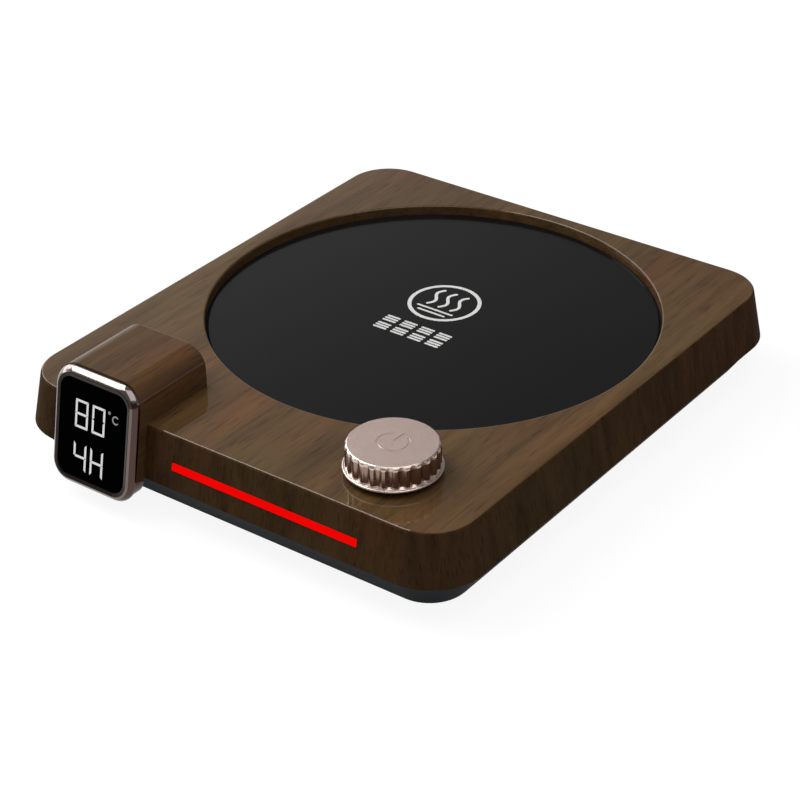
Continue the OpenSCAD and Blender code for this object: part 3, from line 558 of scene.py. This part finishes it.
# The line is a lighter copy along the face's edge: a painted highlight.
rose_highlight_line = metal("rose gold highlight line", (0.15, 0.115, 0.1), 0.14, coat=0.4)
# The top band is a lighter copy for the upward faces: a painted highlight.
rose_top_highlight = metal("rose gold top highlight band", (0.22, 0.18, 0.165), 0.14, coat=0.8)
# The smoked copy is darker still, next to the glass: painted shade.
inner_frame_shaded = metal("inner frame shaded", (0.03, 0.025, 0.023), 0.2)
plate_glass = dark_glass("plate glass", grey(0.0042), 0.14, 1.27)
window_glass = dark_glass("window glass", grey(0.0002), 0.1, 1.03)
mark_ink = plastic("mark ink", (0.56, 0.56, 0.55), 0.7, texture=0.02, specular=0.1, spread=0.04)
base_plastic = plastic("base plastic", (0.042, 0.046, 0.049), 0.5, texture=0.2, specular=0.003)
foot_rubber = plastic("foot rubber", grey(0.012), 0.8, texture=0.3, specular=0.2)
seal_rubber = plastic("seal silicone", grey(0.006), 0.7, texture=0.1, specular=0.1)
lit_white = lit("lit white", grey(0.68))
lit_dim = lit("lit dim", grey(0.27))
lit_red = lit("lit red", (0.86, 0.0015, 0.001), spread=0.03)


# ---- pieces ----


def shell_loop(z, inset=0.0):
    """A loop round the drafted walls at height z, or inset behind them."""
    grow = 2 * ((top_z - z) * lean - inset)
    return rounded_rect(top_w + grow, top_d + grow, corner_r + grow / 2, z)


def shell_edge():
    """Loops round the top edge: an arc that runs from the drafted wall into the top face."""
    run_in = (edge_r - edge_r * sin(draft)) / cos(draft)
    loops = []
    for i in range(SHELL_EDGE_STEPS + 1):
        turn = draft + (pi / 2 - draft) * i / SHELL_EDGE_STEPS
        inset = run_in - edge_r * cos(turn)
        z = top_z - edge_r + edge_r * sin(turn)
        loops.append(rounded_rect(top_w - 2 * inset, top_d - 2 * inset, corner_r - inset, z))
    return loops


def well_loops(ceiling_z):
    """Loops down the round well: rim, wall and ledge, then back up behind it to the ceiling."""
    rim = edge_arc(rim_r, WELL_RIM_STEPS)
    loops = [circle(well_r + outward, top_z - drop) for drop, outward in rim]
    loops += [circle(well_r, seal_low.z), circle(ledge_r, seal_low.z), circle(ledge_r, ledge_z)]
    loops += [circle(well_r + shell_t, ledge_z), circle(well_r + shell_t, ceiling_z)]
    return loops


def inlet_cutters():
    """Cutters for the power inlet's recess and bore in the rear wall."""
    outward = Matrix.Rotation(-pi / 2, 4, "X")
    recess = Matrix.Translation((inlet_at.x, inlet_seat_y, inlet_at.z)) @ outward
    bore_y = inlet_seat_y - inlet_bore_from
    bore = Matrix.Translation((inlet_at.x, bore_y, inlet_at.z)) @ outward
    return [
        cylinder_cutter(inlet_recess_r, inlet_recess_reach, recess),
        cylinder_cutter(inlet_bore_r, inlet_bore_reach, bore),
    ]


def build_housing():
    """The wood-film housing: walls, rounded top edge, top face, well and ledge, closed inside. The
    walls and the lower part of the top edge wear a darker copy of the film: painted shade.
    """
    bm = bmesh.new()
    finishes = [film_top, film_wall_shaded]
    on_top, on_shaded_wall = range(len(finishes))
    ceiling_z = top_z - shell_t
    inside = [shell_loop(ceiling_z, shell_t), shell_loop(shell_z, shell_t)]
    foot = [shell_loop(shell_z, foot_edge_r), shell_loop(shell_z + foot_edge_r)]
    loops = inside + foot + shell_edge()
    wall_bands = len(loops) - 1 - SHELL_EDGE_TOP_BANDS
    # Painted shade: the wall bands wear the darker wall copy, and the top edge's last bands wear
    # the top film.
    rows = loft(bm, loops, [on_shaded_wall] * wall_bands + [on_top] * SHELL_EDGE_TOP_BANDS)
    to_plate = Vector((plate_at.x, plate_at.y - house_y, 0))
    well = loft(bm, [moved(loop, to_plate) for loop in well_loops(ceiling_z)])
    fill_between(bm, rows[-1], well[0], on_top)
    fill_between(bm, rows[0], well[-1], on_shaded_wall)
    housing = new_object("housing", bm, finishes, Matrix.Translation((0, house_y, 0)))
    carve(housing, inlet_cutters())
    finish_piece(housing, ["top_shell"])


def base_loop(z, inset=0.0):
    """A loop round the base pan's tapered wall at height z, or inset behind it."""
    share = (shell_z - z) / (shell_z - base_low.z)
    shrink = 2 * (base_taper * share + inset)
    radius = base_top_r + (base_low_r - base_top_r) * share - inset
    return rounded_rect(base_top_w - shrink, base_top_d - shrink, radius, z)


def pocket_cutters(node, part_r, pocket_r, depth):
    """Cutters for the pockets under a node's four parts, which stand at the corners of its box."""
    low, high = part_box(node)
    cutters = []
    for x in (low.x + part_r, high.x - part_r):
        for y in (low.y + part_r, high.y - part_r):
            place = Matrix.Translation((x, y, base_low.z - cut_clearance))
            cutters.append(cylinder_cutter(pocket_r, depth + cut_clearance, place, POCKET_STEPS))
    return cutters


def build_base():
    """The tapered base pan with its screw recesses and foot pockets."""
    bm = bmesh.new()
    edge = edge_arc(base_edge_r, BASE_EDGE_STEPS)
    loops = [base_loop(base_low.z + drop, inset) for inset, drop in edge[::-1]]
    loops += [base_loop(shell_z), base_loop(shell_z, base_t)]
    loops.append(base_loop(base_low.z + base_t, base_t))
    closed_loft(bm, loops)
    base = new_object("base_pan", bm, [base_plastic], Matrix.Translation((0, house_y, 0)))
    cutters = pocket_cutters("housing_screws", screw_head_r, screw_pocket_r, screw_pocket_depth)
    cutters += pocket_cutters("rubber_feet", foot_r, foot_r, foot_pocket_depth)
    carve(base, cutters)
    finish_piece(base, ["base_cover"])


def housing_cutter():
    """The housing's front half in side view, wider than the head, to cut it out of the hood."""
    bm = bmesh.new()
    front_y = house_y - top_d / 2
    foot_y = front_y - wall_h * lean
    profile = [(house_y, top_z), (front_y, top_z), (foot_y, shell_z), (foot_y, 0), (house_y, 0)]
    sides = [[Vector((x, y, z)) for y, z in profile] for x in (head_x - head_w, head_x + head_w)]
    closed_loft(bm, sides)
    return new_object("cutter", bm)


def build_hood():
    """The display head's wood-film hood, which runs back over the top face. Its film is a darker
    copy of the top film: painted shade.
    """
    bm = bmesh.new()

    def outline(inset):
        """(x, z) points round the head."""
        points = rounded_rect(head_w - 2 * inset, head_h - 2 * inset, head_r - inset)
        return [(head_x + p.x, head_z + p.y) for p in points]

    def bezel_back(z):
        return head_y + (bezel_depth + (z - head_z) * sin(draft)) / cos(draft)

    loops = [[Vector((x, bezel_back(z), z)) for x, z in outline(0)]]
    for inset, drop in edge_arc(hood_edge_r, HOOD_EDGE_STEPS):
        loops.append([Vector((x, hood_back_y - drop, z)) for x, z in outline(inset)])
    closed_loft(bm, loops)
    hood = new_object("hood", bm, [film_hood_shaded])
    carve(hood, [housing_cutter()])
    finish_piece(hood, ["display_hood"])


def display_matrix():
    """The display's own frame: X right, Y up along the tilted front, Z straight out of it."""
    return Matrix.Translation((head_x, head_y, head_z)) @ Matrix.Rotation(pi / 2 - draft, 4, "X")


def bezel_profile():
    """(turn, inset, drop) round the bezel's outer edge, from the side to the face.

    The edge is a tight arc at both ends and a wide one, nearly a flat slope, in between.
    """
    wide_share = cos(bezel_slope_from) - cos(bezel_slope_to)
    wide = (bezel_reach - bezel_corner * (1 - wide_share)) / wide_share
    inset, drop = 0.0, bezel_reach
    profile = [(0.0, inset, drop)]
    step = pi / 2 / BEZEL_EDGE_STEPS
    for i in range(BEZEL_EDGE_STEPS):
        turn = (i + 0.5) * step
        radius = wide if bezel_slope_from < turn < bezel_slope_to else bezel_corner
        inset += radius * step * sin(turn)
        drop -= radius * step * cos(turn)
        profile.append(((i + 1) * step, inset, drop))
    return profile


def build_bezel():
    """The metal frame round the window in copies of one rose gold: darkened outside and darker
    still next to the glass for painted shade, lighter on top and in a line round the face's edge
    for painted highlights.
    """
    bm = bmesh.new()
    finishes = [rose_frame_shaded, rose_highlight_line, inner_frame_shaded, rose_top_highlight]
    frame_band, highlight_line_band, shaded_inner_band, top_highlight_band = range(len(finishes))
    loops = [rounded_rect(head_w, face_h, head_r, -bezel_depth)]
    paint = [frame_band]
    profile = bezel_profile()
    # The faces nearest the face's edge wear the lighter line: a painted highlight.
    line_from = profile[-1][1] - bezel_corner - bezel_line
    for turn, inset, drop in profile:
        loops.append(rounded_rect(head_w - 2 * inset, face_h - 2 * inset, head_r - inset, -drop))
        outside = highlight_line_band if inset > line_from else frame_band
        # Past the slope the edge and the face take the darkest copy: painted shade.
        paint.append(shaded_inner_band if turn > bezel_slope_to else outside)
    seat_z = -window_sink - window_t
    step_w = window_w - 2 * bezel_step
    step_h = window_h - 2 * bezel_step
    step_r = window_r - bezel_step
    loops.append(rounded_rect(window_w, window_h, window_r, -bezel_lip))
    loops.append(rounded_rect(window_w, window_h, window_r, seat_z))
    loops.append(rounded_rect(step_w, step_h, step_r, seat_z))
    loops.append(rounded_rect(step_w, step_h, step_r, -bezel_depth))
    paint += [shaded_inner_band] * (len(loops) - len(paint))
    loft(bm, loops, paint, close=True)
    bm.normal_update()
    # Painted highlight: faces that point up wear the lighter top band.
    for face in bm.faces:
        if face.material_index != shaded_inner_band and face.normal.y > bezel_top_tilt:
            face.material_index = top_highlight_band
    bezel = new_object("bezel", bm, finishes, display_matrix())
    finish_piece(bezel, ["display_bezel"], sharp=60)


SEGMENTS = {"8": "abcdefg", "0": "abcdef", "4": "bcfg", "H": "bcefg"}


def digit_bars():
    """Outlines of a seven-segment sign's mitred bars: a at the top, then clockwise, g across."""
    half = digit_h / 2
    top = digit_h - digit_gap

    def level_bar(outer, inward):
        """A bar at the top or bottom, mitred at both ends."""
        inner = outer + inward * digit_stroke
        mitre = digit_stroke + digit_gap
        return [
            (digit_gap, outer), (digit_w - digit_gap, outer),
            (digit_w - mitre, inner), (mitre, inner),
        ]

    def side_bar(outer, inward, meet, end):
        """An upright bar, cut at half depth where it meets g and mitred at its other end."""
        inner = outer + inward * digit_stroke
        up = 1 if end > meet else -1
        return [
            (outer, meet), (outer, end), (inner, end - up * digit_stroke),
            (inner, meet + up * digit_stroke / 2), (outer + inward * digit_stroke / 2, meet),
        ]

    def cross_bar():
        """The middle bar, pointed at both ends."""
        point = digit_stroke / 2 + digit_gap
        flat = digit_stroke + digit_gap
        low, high = half - digit_stroke / 2, half + digit_stroke / 2
        return [
            (point, half), (flat, high), (digit_w - flat, high),
            (digit_w - point, half), (digit_w - flat, low), (flat, low),
        ]

    return {
        "a": level_bar(digit_h, -1),
        "b": side_bar(digit_w, -1, half + digit_gap, top),
        "c": side_bar(digit_w, -1, half - digit_gap, digit_gap),
        "d": level_bar(0, 1),
        "e": side_bar(0, 1, half - digit_gap, digit_gap),
        "f": side_bar(0, 1, half + digit_gap, top),
        "g": cross_bar(),
    }


def build_figures():
    """The lit figures behind the window's face: 80 degrees over 4 hours."""
    bm = bmesh.new()
    bars = digit_bars()
    for low, signs in zip(digit_rows, ("80", "4H")):
        for left, sign in zip(digit_columns, signs):
            for bar in SEGMENTS[sign]:
                outline = [(left + x, low + y) for x, y in bars[bar]]
                flat_shape(bm, outline, sign_low, sign_t)
    figures = new_object("figures", bm, [lit_white], display_matrix())
    finish_piece(figures, ["display_digits"])


def build_unit_sign():
    """The small dim degree ring and letter C beside the upper figures."""
    bm = bmesh.new()
    letter = open_ring(letter_at, letter_size, 0, letter_gap, SIGN_STEPS)
    flat_stroke(bm, letter, letter_line, sign_low, sign_t)
    flat_ring(bm, degree_at, degree_radii, sign_low, sign_t, SIGN_STEPS)
    unit = new_object("unit_sign", bm, [lit_dim], display_matrix())
    finish_piece(unit)


def build_plate():
    """The glass disc with its ground edge."""
    bm = bmesh.new()
    loops = [circle(glass_r, glass_low.z)]
    for inset, drop in edge_arc(glass_edge_r, GLASS_EDGE_STEPS):
        loops.append(circle(glass_r - inset, glass_high.z - drop))
    closed_loft(bm, loops)
    place = Matrix.Translation((plate_at.x, plate_at.y, 0))
    plate = new_object("plate", bm, [plate_glass], place)
    finish_piece(plate, ["glass_plate"])


def draw_steam(bm, x):
    """One wavy line of steam, x beside the mark's middle."""
    wave = []
    for i in range(SIGN_STEPS + 1):
        share = i / SIGN_STEPS
        sway = steam_sway * sin(2 * pi * share)
        wave.append((mark_at.x + x + sway, mark_at.y + steam_low + steam_h * share))
    flat_stroke(bm, wave, steam_line, glass_high.z, print_t)


def draw_dashes(bm, left, middle_y):
    """One block of three short dashes."""
    for lift in (-dash_gap, 0, dash_gap):
        ends = [(left, middle_y + lift), (left + dash_w, middle_y + lift)]
        flat_stroke(bm, ends, dash_line, glass_high.z, print_t)


def build_mark():
    """A pale printed sign: steam over a saucer in a ring, with rows of dashes below."""
    bm = bmesh.new()
    flat_ring(bm, mark_at, (mark_r, mark_r - mark_line), glass_high.z, print_t, MARK_STEPS)
    for column in (-1, 0, 1):
        draw_steam(bm, column * steam_pitch)
    for y, half in saucer_bars:
        ends = [(mark_at.x + side * half, mark_at.y + y) for side in (-1, 1)]
        flat_stroke(bm, ends, saucer_line, glass_high.z, print_t)
    for row in range(dash_rows):
        for column in range(dash_columns):
            draw_dashes(bm, dash_left + dash_pitch * column, dash_top - dash_drop * row)
    place = Matrix.Translation((plate_at.x, plate_at.y, 0))
    mark = new_object("plate_mark", bm, [mark_ink], place)
    finish_piece(mark)


def flute_radius(turn, z):
    """The fluted skirt's radius at an angle and a height."""
    pitch = 2 * pi / flutes
    offset = (turn + pitch / 2) % pitch - pitch / 2
    centre = skirt_r + flute_cutter_r - flute_depth
    reach = centre * sin(abs(offset))
    if reach >= flute_cutter_r:
        return skirt_r
    cut = centre * cos(offset) - sqrt(flute_cutter_r**2 - reach**2)
    fade = min(max((z - skirt_low) / flute_runout, 0), 1)
    return skirt_r - max(skirt_r - cut, 0) * fade


def knob_loop(radius, z, fluted=False):
    """A loop round the knob, which follows the flutes where they cut deeper than the radius."""
    points = []
    for i in range(KNOB_STEPS):
        turn = 2 * pi * i / KNOB_STEPS
        r = min(radius, flute_radius(turn, z)) if fluted else radius
        points.append(Vector((r * cos(turn), r * sin(turn), z)))
    return points


def flange_loops():
    """Loops round the flange's half-round edge, from its underside to the skirt's foot."""
    half = flange_t / 2
    loops = []
    for i in range(FLANGE_STEPS + 1):
        turn = -pi / 2 + i / FLANGE_STEPS * pi
        z = knob_low.z + half + half * sin(turn)
        loops.append(knob_loop(flange_r - half + half * cos(turn), z))
    loops.append(knob_loop(skirt_r + flange_fillet, skirt_low))
    return loops


def runout_loops():
    """Loops up the skirt's foot, where the flutes run out above the flange."""
    steps = range(1, RUNOUT_STEPS + 1)
    heights = [skirt_low + flute_runout * i / RUNOUT_STEPS for i in steps]
    return [knob_loop(skirt_r, z, fluted=True) for z in heights]


def shoulder_loops():
    """Loops over the skirt's rounded shoulder, from its tangent to the crease at the top face."""
    turns = [i / SHOULDER_STEPS * knob_crease for i in range(SHOULDER_STEPS + 1)]
    loops = []
    for turn in turns:
        z = skirt_top + knob_round * sin(turn)
        loops.append(knob_loop(skirt_r - knob_round * (1 - cos(turn)), z, fluted=True))
    return loops


def build_knob():
    """The fluted knob: flange, scalloped skirt, bright shoulder, satin top with a power sign. The
    skirt's wall wears a darker copy of the polished rose gold: painted shade.
    """
    bm = bmesh.new()
    finishes = [rose_top, rose_polish, rose_skirt_shaded]
    on_top, on_polish, on_shaded_skirt = range(len(finishes))
    foot = [knob_loop(cavity_r, roof_z), knob_loop(cavity_r, knob_low.z)]
    foot += flange_loops() + runout_loops()
    loops = foot + shoulder_loops() + [knob_loop(crown_r, knob_high.z)]
    paint = [on_polish] * (len(loops) - 1)
    # Painted shade: the skirt's wall takes the darker copy.
    paint[len(foot) - 1] = on_shaded_skirt
    paint[-1] = on_top
    rows = loft(bm, loops, paint)
    cap(bm, rows[-1], on_top)
    cap(bm, rows[0], on_polish)
    place = Matrix.Translation((knob_at.x, knob_at.y, 0))
    knob = new_object("knob_cap", bm, finishes, place)
    carve(knob, [power_sign_cutter(place)])
    finish_piece(knob, ["knob"], body="knob_stack", sharp=24)


def power_sign_cutter(place):
    """The sunk power sign: an open ring and a bar."""
    bm = bmesh.new()
    low = knob_high.z - icon_depth
    ring = open_ring(Vector((0, 0)), Vector((icon_r, icon_r)), pi / 2, icon_gap, ICON_STEPS)
    flat_stroke(bm, ring, icon_line, low, 2 * icon_depth)
    flat_stroke(bm, [(0, y) for y in icon_bar], icon_line, low, 2 * icon_depth)
    return new_object("cutter", bm, matrix=place)


def inner_finishes():
    """Finishes for the CAD nodes inside and for the screws, by material."""
    steel = metal("screw steel", (0.55, 0.56, 0.57), 0.3)
    plated = metal("plated metal", (0.62, 0.63, 0.65), 0.22)
    aluminium = metal("spreader aluminium", (0.75, 0.76, 0.77), 0.35, stretch=(1, 0.1, 1))
    brass = metal("brass", (0.7, 0.52, 0.24), 0.3)
    board = plastic("circuit board", (0.03, 0.14, 0.06), 0.35)
    black = plastic("moulded black", (0.012, 0.012, 0.013), 0.45)
    white = plastic("moulded white", (0.75, 0.74, 0.7), 0.5)
    blue = plastic("relay blue", (0.03, 0.1, 0.36), 0.4)
    green = plastic("encoder green", (0.03, 0.13, 0.07), 0.45)
    mica = plastic("mica", (0.5, 0.4, 0.24), 0.35, texture=0.1, spread=0.25)
    felt = plastic("felt", (0.82, 0.8, 0.76), 0.95, texture=0.8, scale=700, specular=0.05)
    grey_lead = plastic("grey lead", (0.33, 0.33, 0.32), 0.5)
    red_lead = plastic("red lead", (0.36, 0.03, 0.03), 0.5)
    led = plastic("led package", (0.85, 0.78, 0.5), 0.3)
    return {
        steel: ["hood_screws", "housing_screws", "tray_screws", "board_screws", "heater_tray"],
        plated: [
            "encoder_bushing", "encoder_washer", "encoder_nut", "encoder_shaft",
            "inlet_pin", "inlet_nut", "thermal_fuse",
        ],
        aluminium: ["heat_spreader"],
        brass: ["heating_element", "thermistor", "switch_dome"],
        board: ["control_board", "knob_board"],
        black: ["microcontroller", "buzzer", "power_inlet", "capacitor"],
        white: [
            "display_module", "wire_connectors", "encoder_rotor", "knob_insert", "light_bar_board",
        ],
        blue: ["power_relay"],
        green: ["encoder_body"],
        mica: ["mica_sheet"],
        felt: ["insulation_felt"],
        grey_lead: ["heater_leads", "display_leads", "knob_leads", "light_leads", "sensor_leads"],
        red_lead: ["inlet_leads"],
        led: ["light_bar_leds"],
    }


def outer_finishes():
    """Finishes for the CAD nodes outside, those that a piece replaces among them, by material."""
    return {
        foot_rubber: ["rubber_feet"],
        seal_rubber: ["plate_seal"],
        window_glass: ["display_window"],
        lit_red: ["light_bar_lens"],
        film_top: ["top_shell"],
        film_hood_shaded: ["display_hood"],
        base_plastic: ["base_cover"],
        plate_glass: ["glass_plate"],
        rose_frame_shaded: ["display_bezel"],
        rose_polish: ["knob"],
        lit_white: ["display_digits"],
    }


def dress_cad_nodes():
    """Gives every CAD node its finish in place of the plain one it comes with."""
    for material, nodes in {**inner_finishes(), **outer_finishes()}.items():
        for node in nodes:
            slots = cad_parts[node].data.materials
            slots.clear()
            slots.append(material)


# ---- stage ----

CAMERA_EYE = Vector((319.403, -428.782, 329.485)) * MM
CAMERA_TURN = radians(36.718)
CAMERA_LIFT = radians(31.377)
CAMERA_ROLL = radians(-0.7296)
CAMERA_LENS = 103.51
CAMERA_SENSOR = 36
CAMERA_CLIP = 0.01
FLOOR_REACH = 15


def build_camera():
    """The camera at the photograph's angle."""
    aside = Vector((sin(CAMERA_TURN), -cos(CAMERA_TURN), 0))
    back = aside * cos(CAMERA_LIFT) + Vector((0, 0, sin(CAMERA_LIFT)))
    level = Vector((cos(CAMERA_TURN), sin(CAMERA_TURN), 0))
    over = back.cross(level)
    right = level * cos(CAMERA_ROLL) + over * sin(CAMERA_ROLL)
    up = over * cos(CAMERA_ROLL) - level * sin(CAMERA_ROLL)
    data = bpy.data.cameras.new("camera")
    data.lens = CAMERA_LENS
    data.sensor_width = CAMERA_SENSOR
    data.clip_start = CAMERA_CLIP
    camera = bpy.data.objects.new("camera", data)
    turned = Matrix((right, up, back)).transposed().to_4x4()
    camera.matrix_world = Matrix.Translation(CAMERA_EYE) @ turned
    bpy.context.scene.collection.objects.link(camera)
    bpy.context.scene.camera = camera


def softbox(name, direction, distance, size, radiance):
    """A flat lamp that faces the object from the given direction."""
    width, height = size
    data = bpy.data.lights.new(name, "AREA")
    data.shape = "RECTANGLE"
    data.size = width
    data.size_y = height
    data.energy = radiance * pi * width * height
    lamp = bpy.data.objects.new(name, data)
    place = Vector(direction).normalized() * distance
    lamp.location = place
    lamp.rotation_mode = "QUATERNION"
    lamp.rotation_quaternion = place.to_track_quat("Z", "Y")
    bpy.context.scene.collection.objects.link(lamp)


def build_lights():
    """Four softboxes: the key and two from the left, and a weak fill from the right."""
    softbox("key", (-0.5, -0.16, 0.83), distance=0.6, size=(0.46, 0.36), radiance=5.3)
    softbox("left high", (-0.87, 0.02, 0.5), distance=1.0, size=(0.5, 0.3), radiance=3.0)
    softbox("fill", (0.42, -0.26, 0.87), distance=0.5, size=(0.45, 0.45), radiance=1.5)
    softbox("left strip", (-0.97, -0.04, 0.2), distance=1.2, size=(1.2, 0.28), radiance=2.5)


def build_world():
    """The studio around the object: dim above and on the right, bright low on the left."""
    world = bpy.data.worlds.new("world")
    world.use_nodes = True
    tree = world.node_tree
    where = tree.nodes.new("ShaderNodeTexCoord")
    leftness = tree.nodes.new("ShaderNodeVectorMath")
    leftness.operation = "DOT_PRODUCT"
    leftness.inputs[1].default_value = (-1, 0.12, -0.5)
    tree.links.new(where.outputs["Generated"], leftness.inputs[0])
    stops = {0.27: 0.22, 0.34: 0.31, 0.38: 0.37, 0.43: 0.5, 0.52: 0.62, 0.62: 0.85}
    shades = [(position, grey(value)) for position, value in stops.items()]
    glow = ramp(tree, leftness.outputs["Value"], *shades)
    tree.links.new(glow, tree.nodes["Background"].inputs["Color"])
    bpy.context.scene.world = world


def build_floor():
    """A pale floor, white where seen or mirrored, dimmer in the light that it throws back."""
    bm = bmesh.new()
    bmesh.ops.create_grid(bm, x_segments=1, y_segments=1, size=FLOOR_REACH)
    material, tree, shader = new_material("floor")
    path = tree.nodes.new("ShaderNodeLightPath")
    seen = path.outputs["Is Camera Ray"]
    for name in ("Is Glossy Ray", "Is Transmission Ray"):
        either = tree.nodes.new("ShaderNodeMath")
        either.operation = "MAXIMUM"
        tree.links.new(seen, either.inputs[0])
        tree.links.new(path.outputs[name], either.inputs[1])
        seen = either.outputs["Value"]
    colour = ramp(tree, seen, (0, grey(0.35)), (1, grey(0.12)))
    glow = ramp(tree, seen, (0, grey(0.0)), (1, grey(0.9)))
    tree.links.new(colour, shader.inputs["Base Color"])
    tree.links.new(glow, shader.inputs["Emission Color"])
    set_sockets(shader, Roughness=0.9, Specular_IOR_Level=0.0, Emission_Strength=1.0)
    new_object("floor", bm, [material])


build_camera()
build_housing()
build_base()
build_hood()
build_bezel()
build_figures()
build_unit_sign()
build_plate()
build_mark()
build_knob()
dress_cad_nodes()
build_lights()
build_world()
build_floor()

bpy.context.scene.view_settings.view_transform = "Standard"
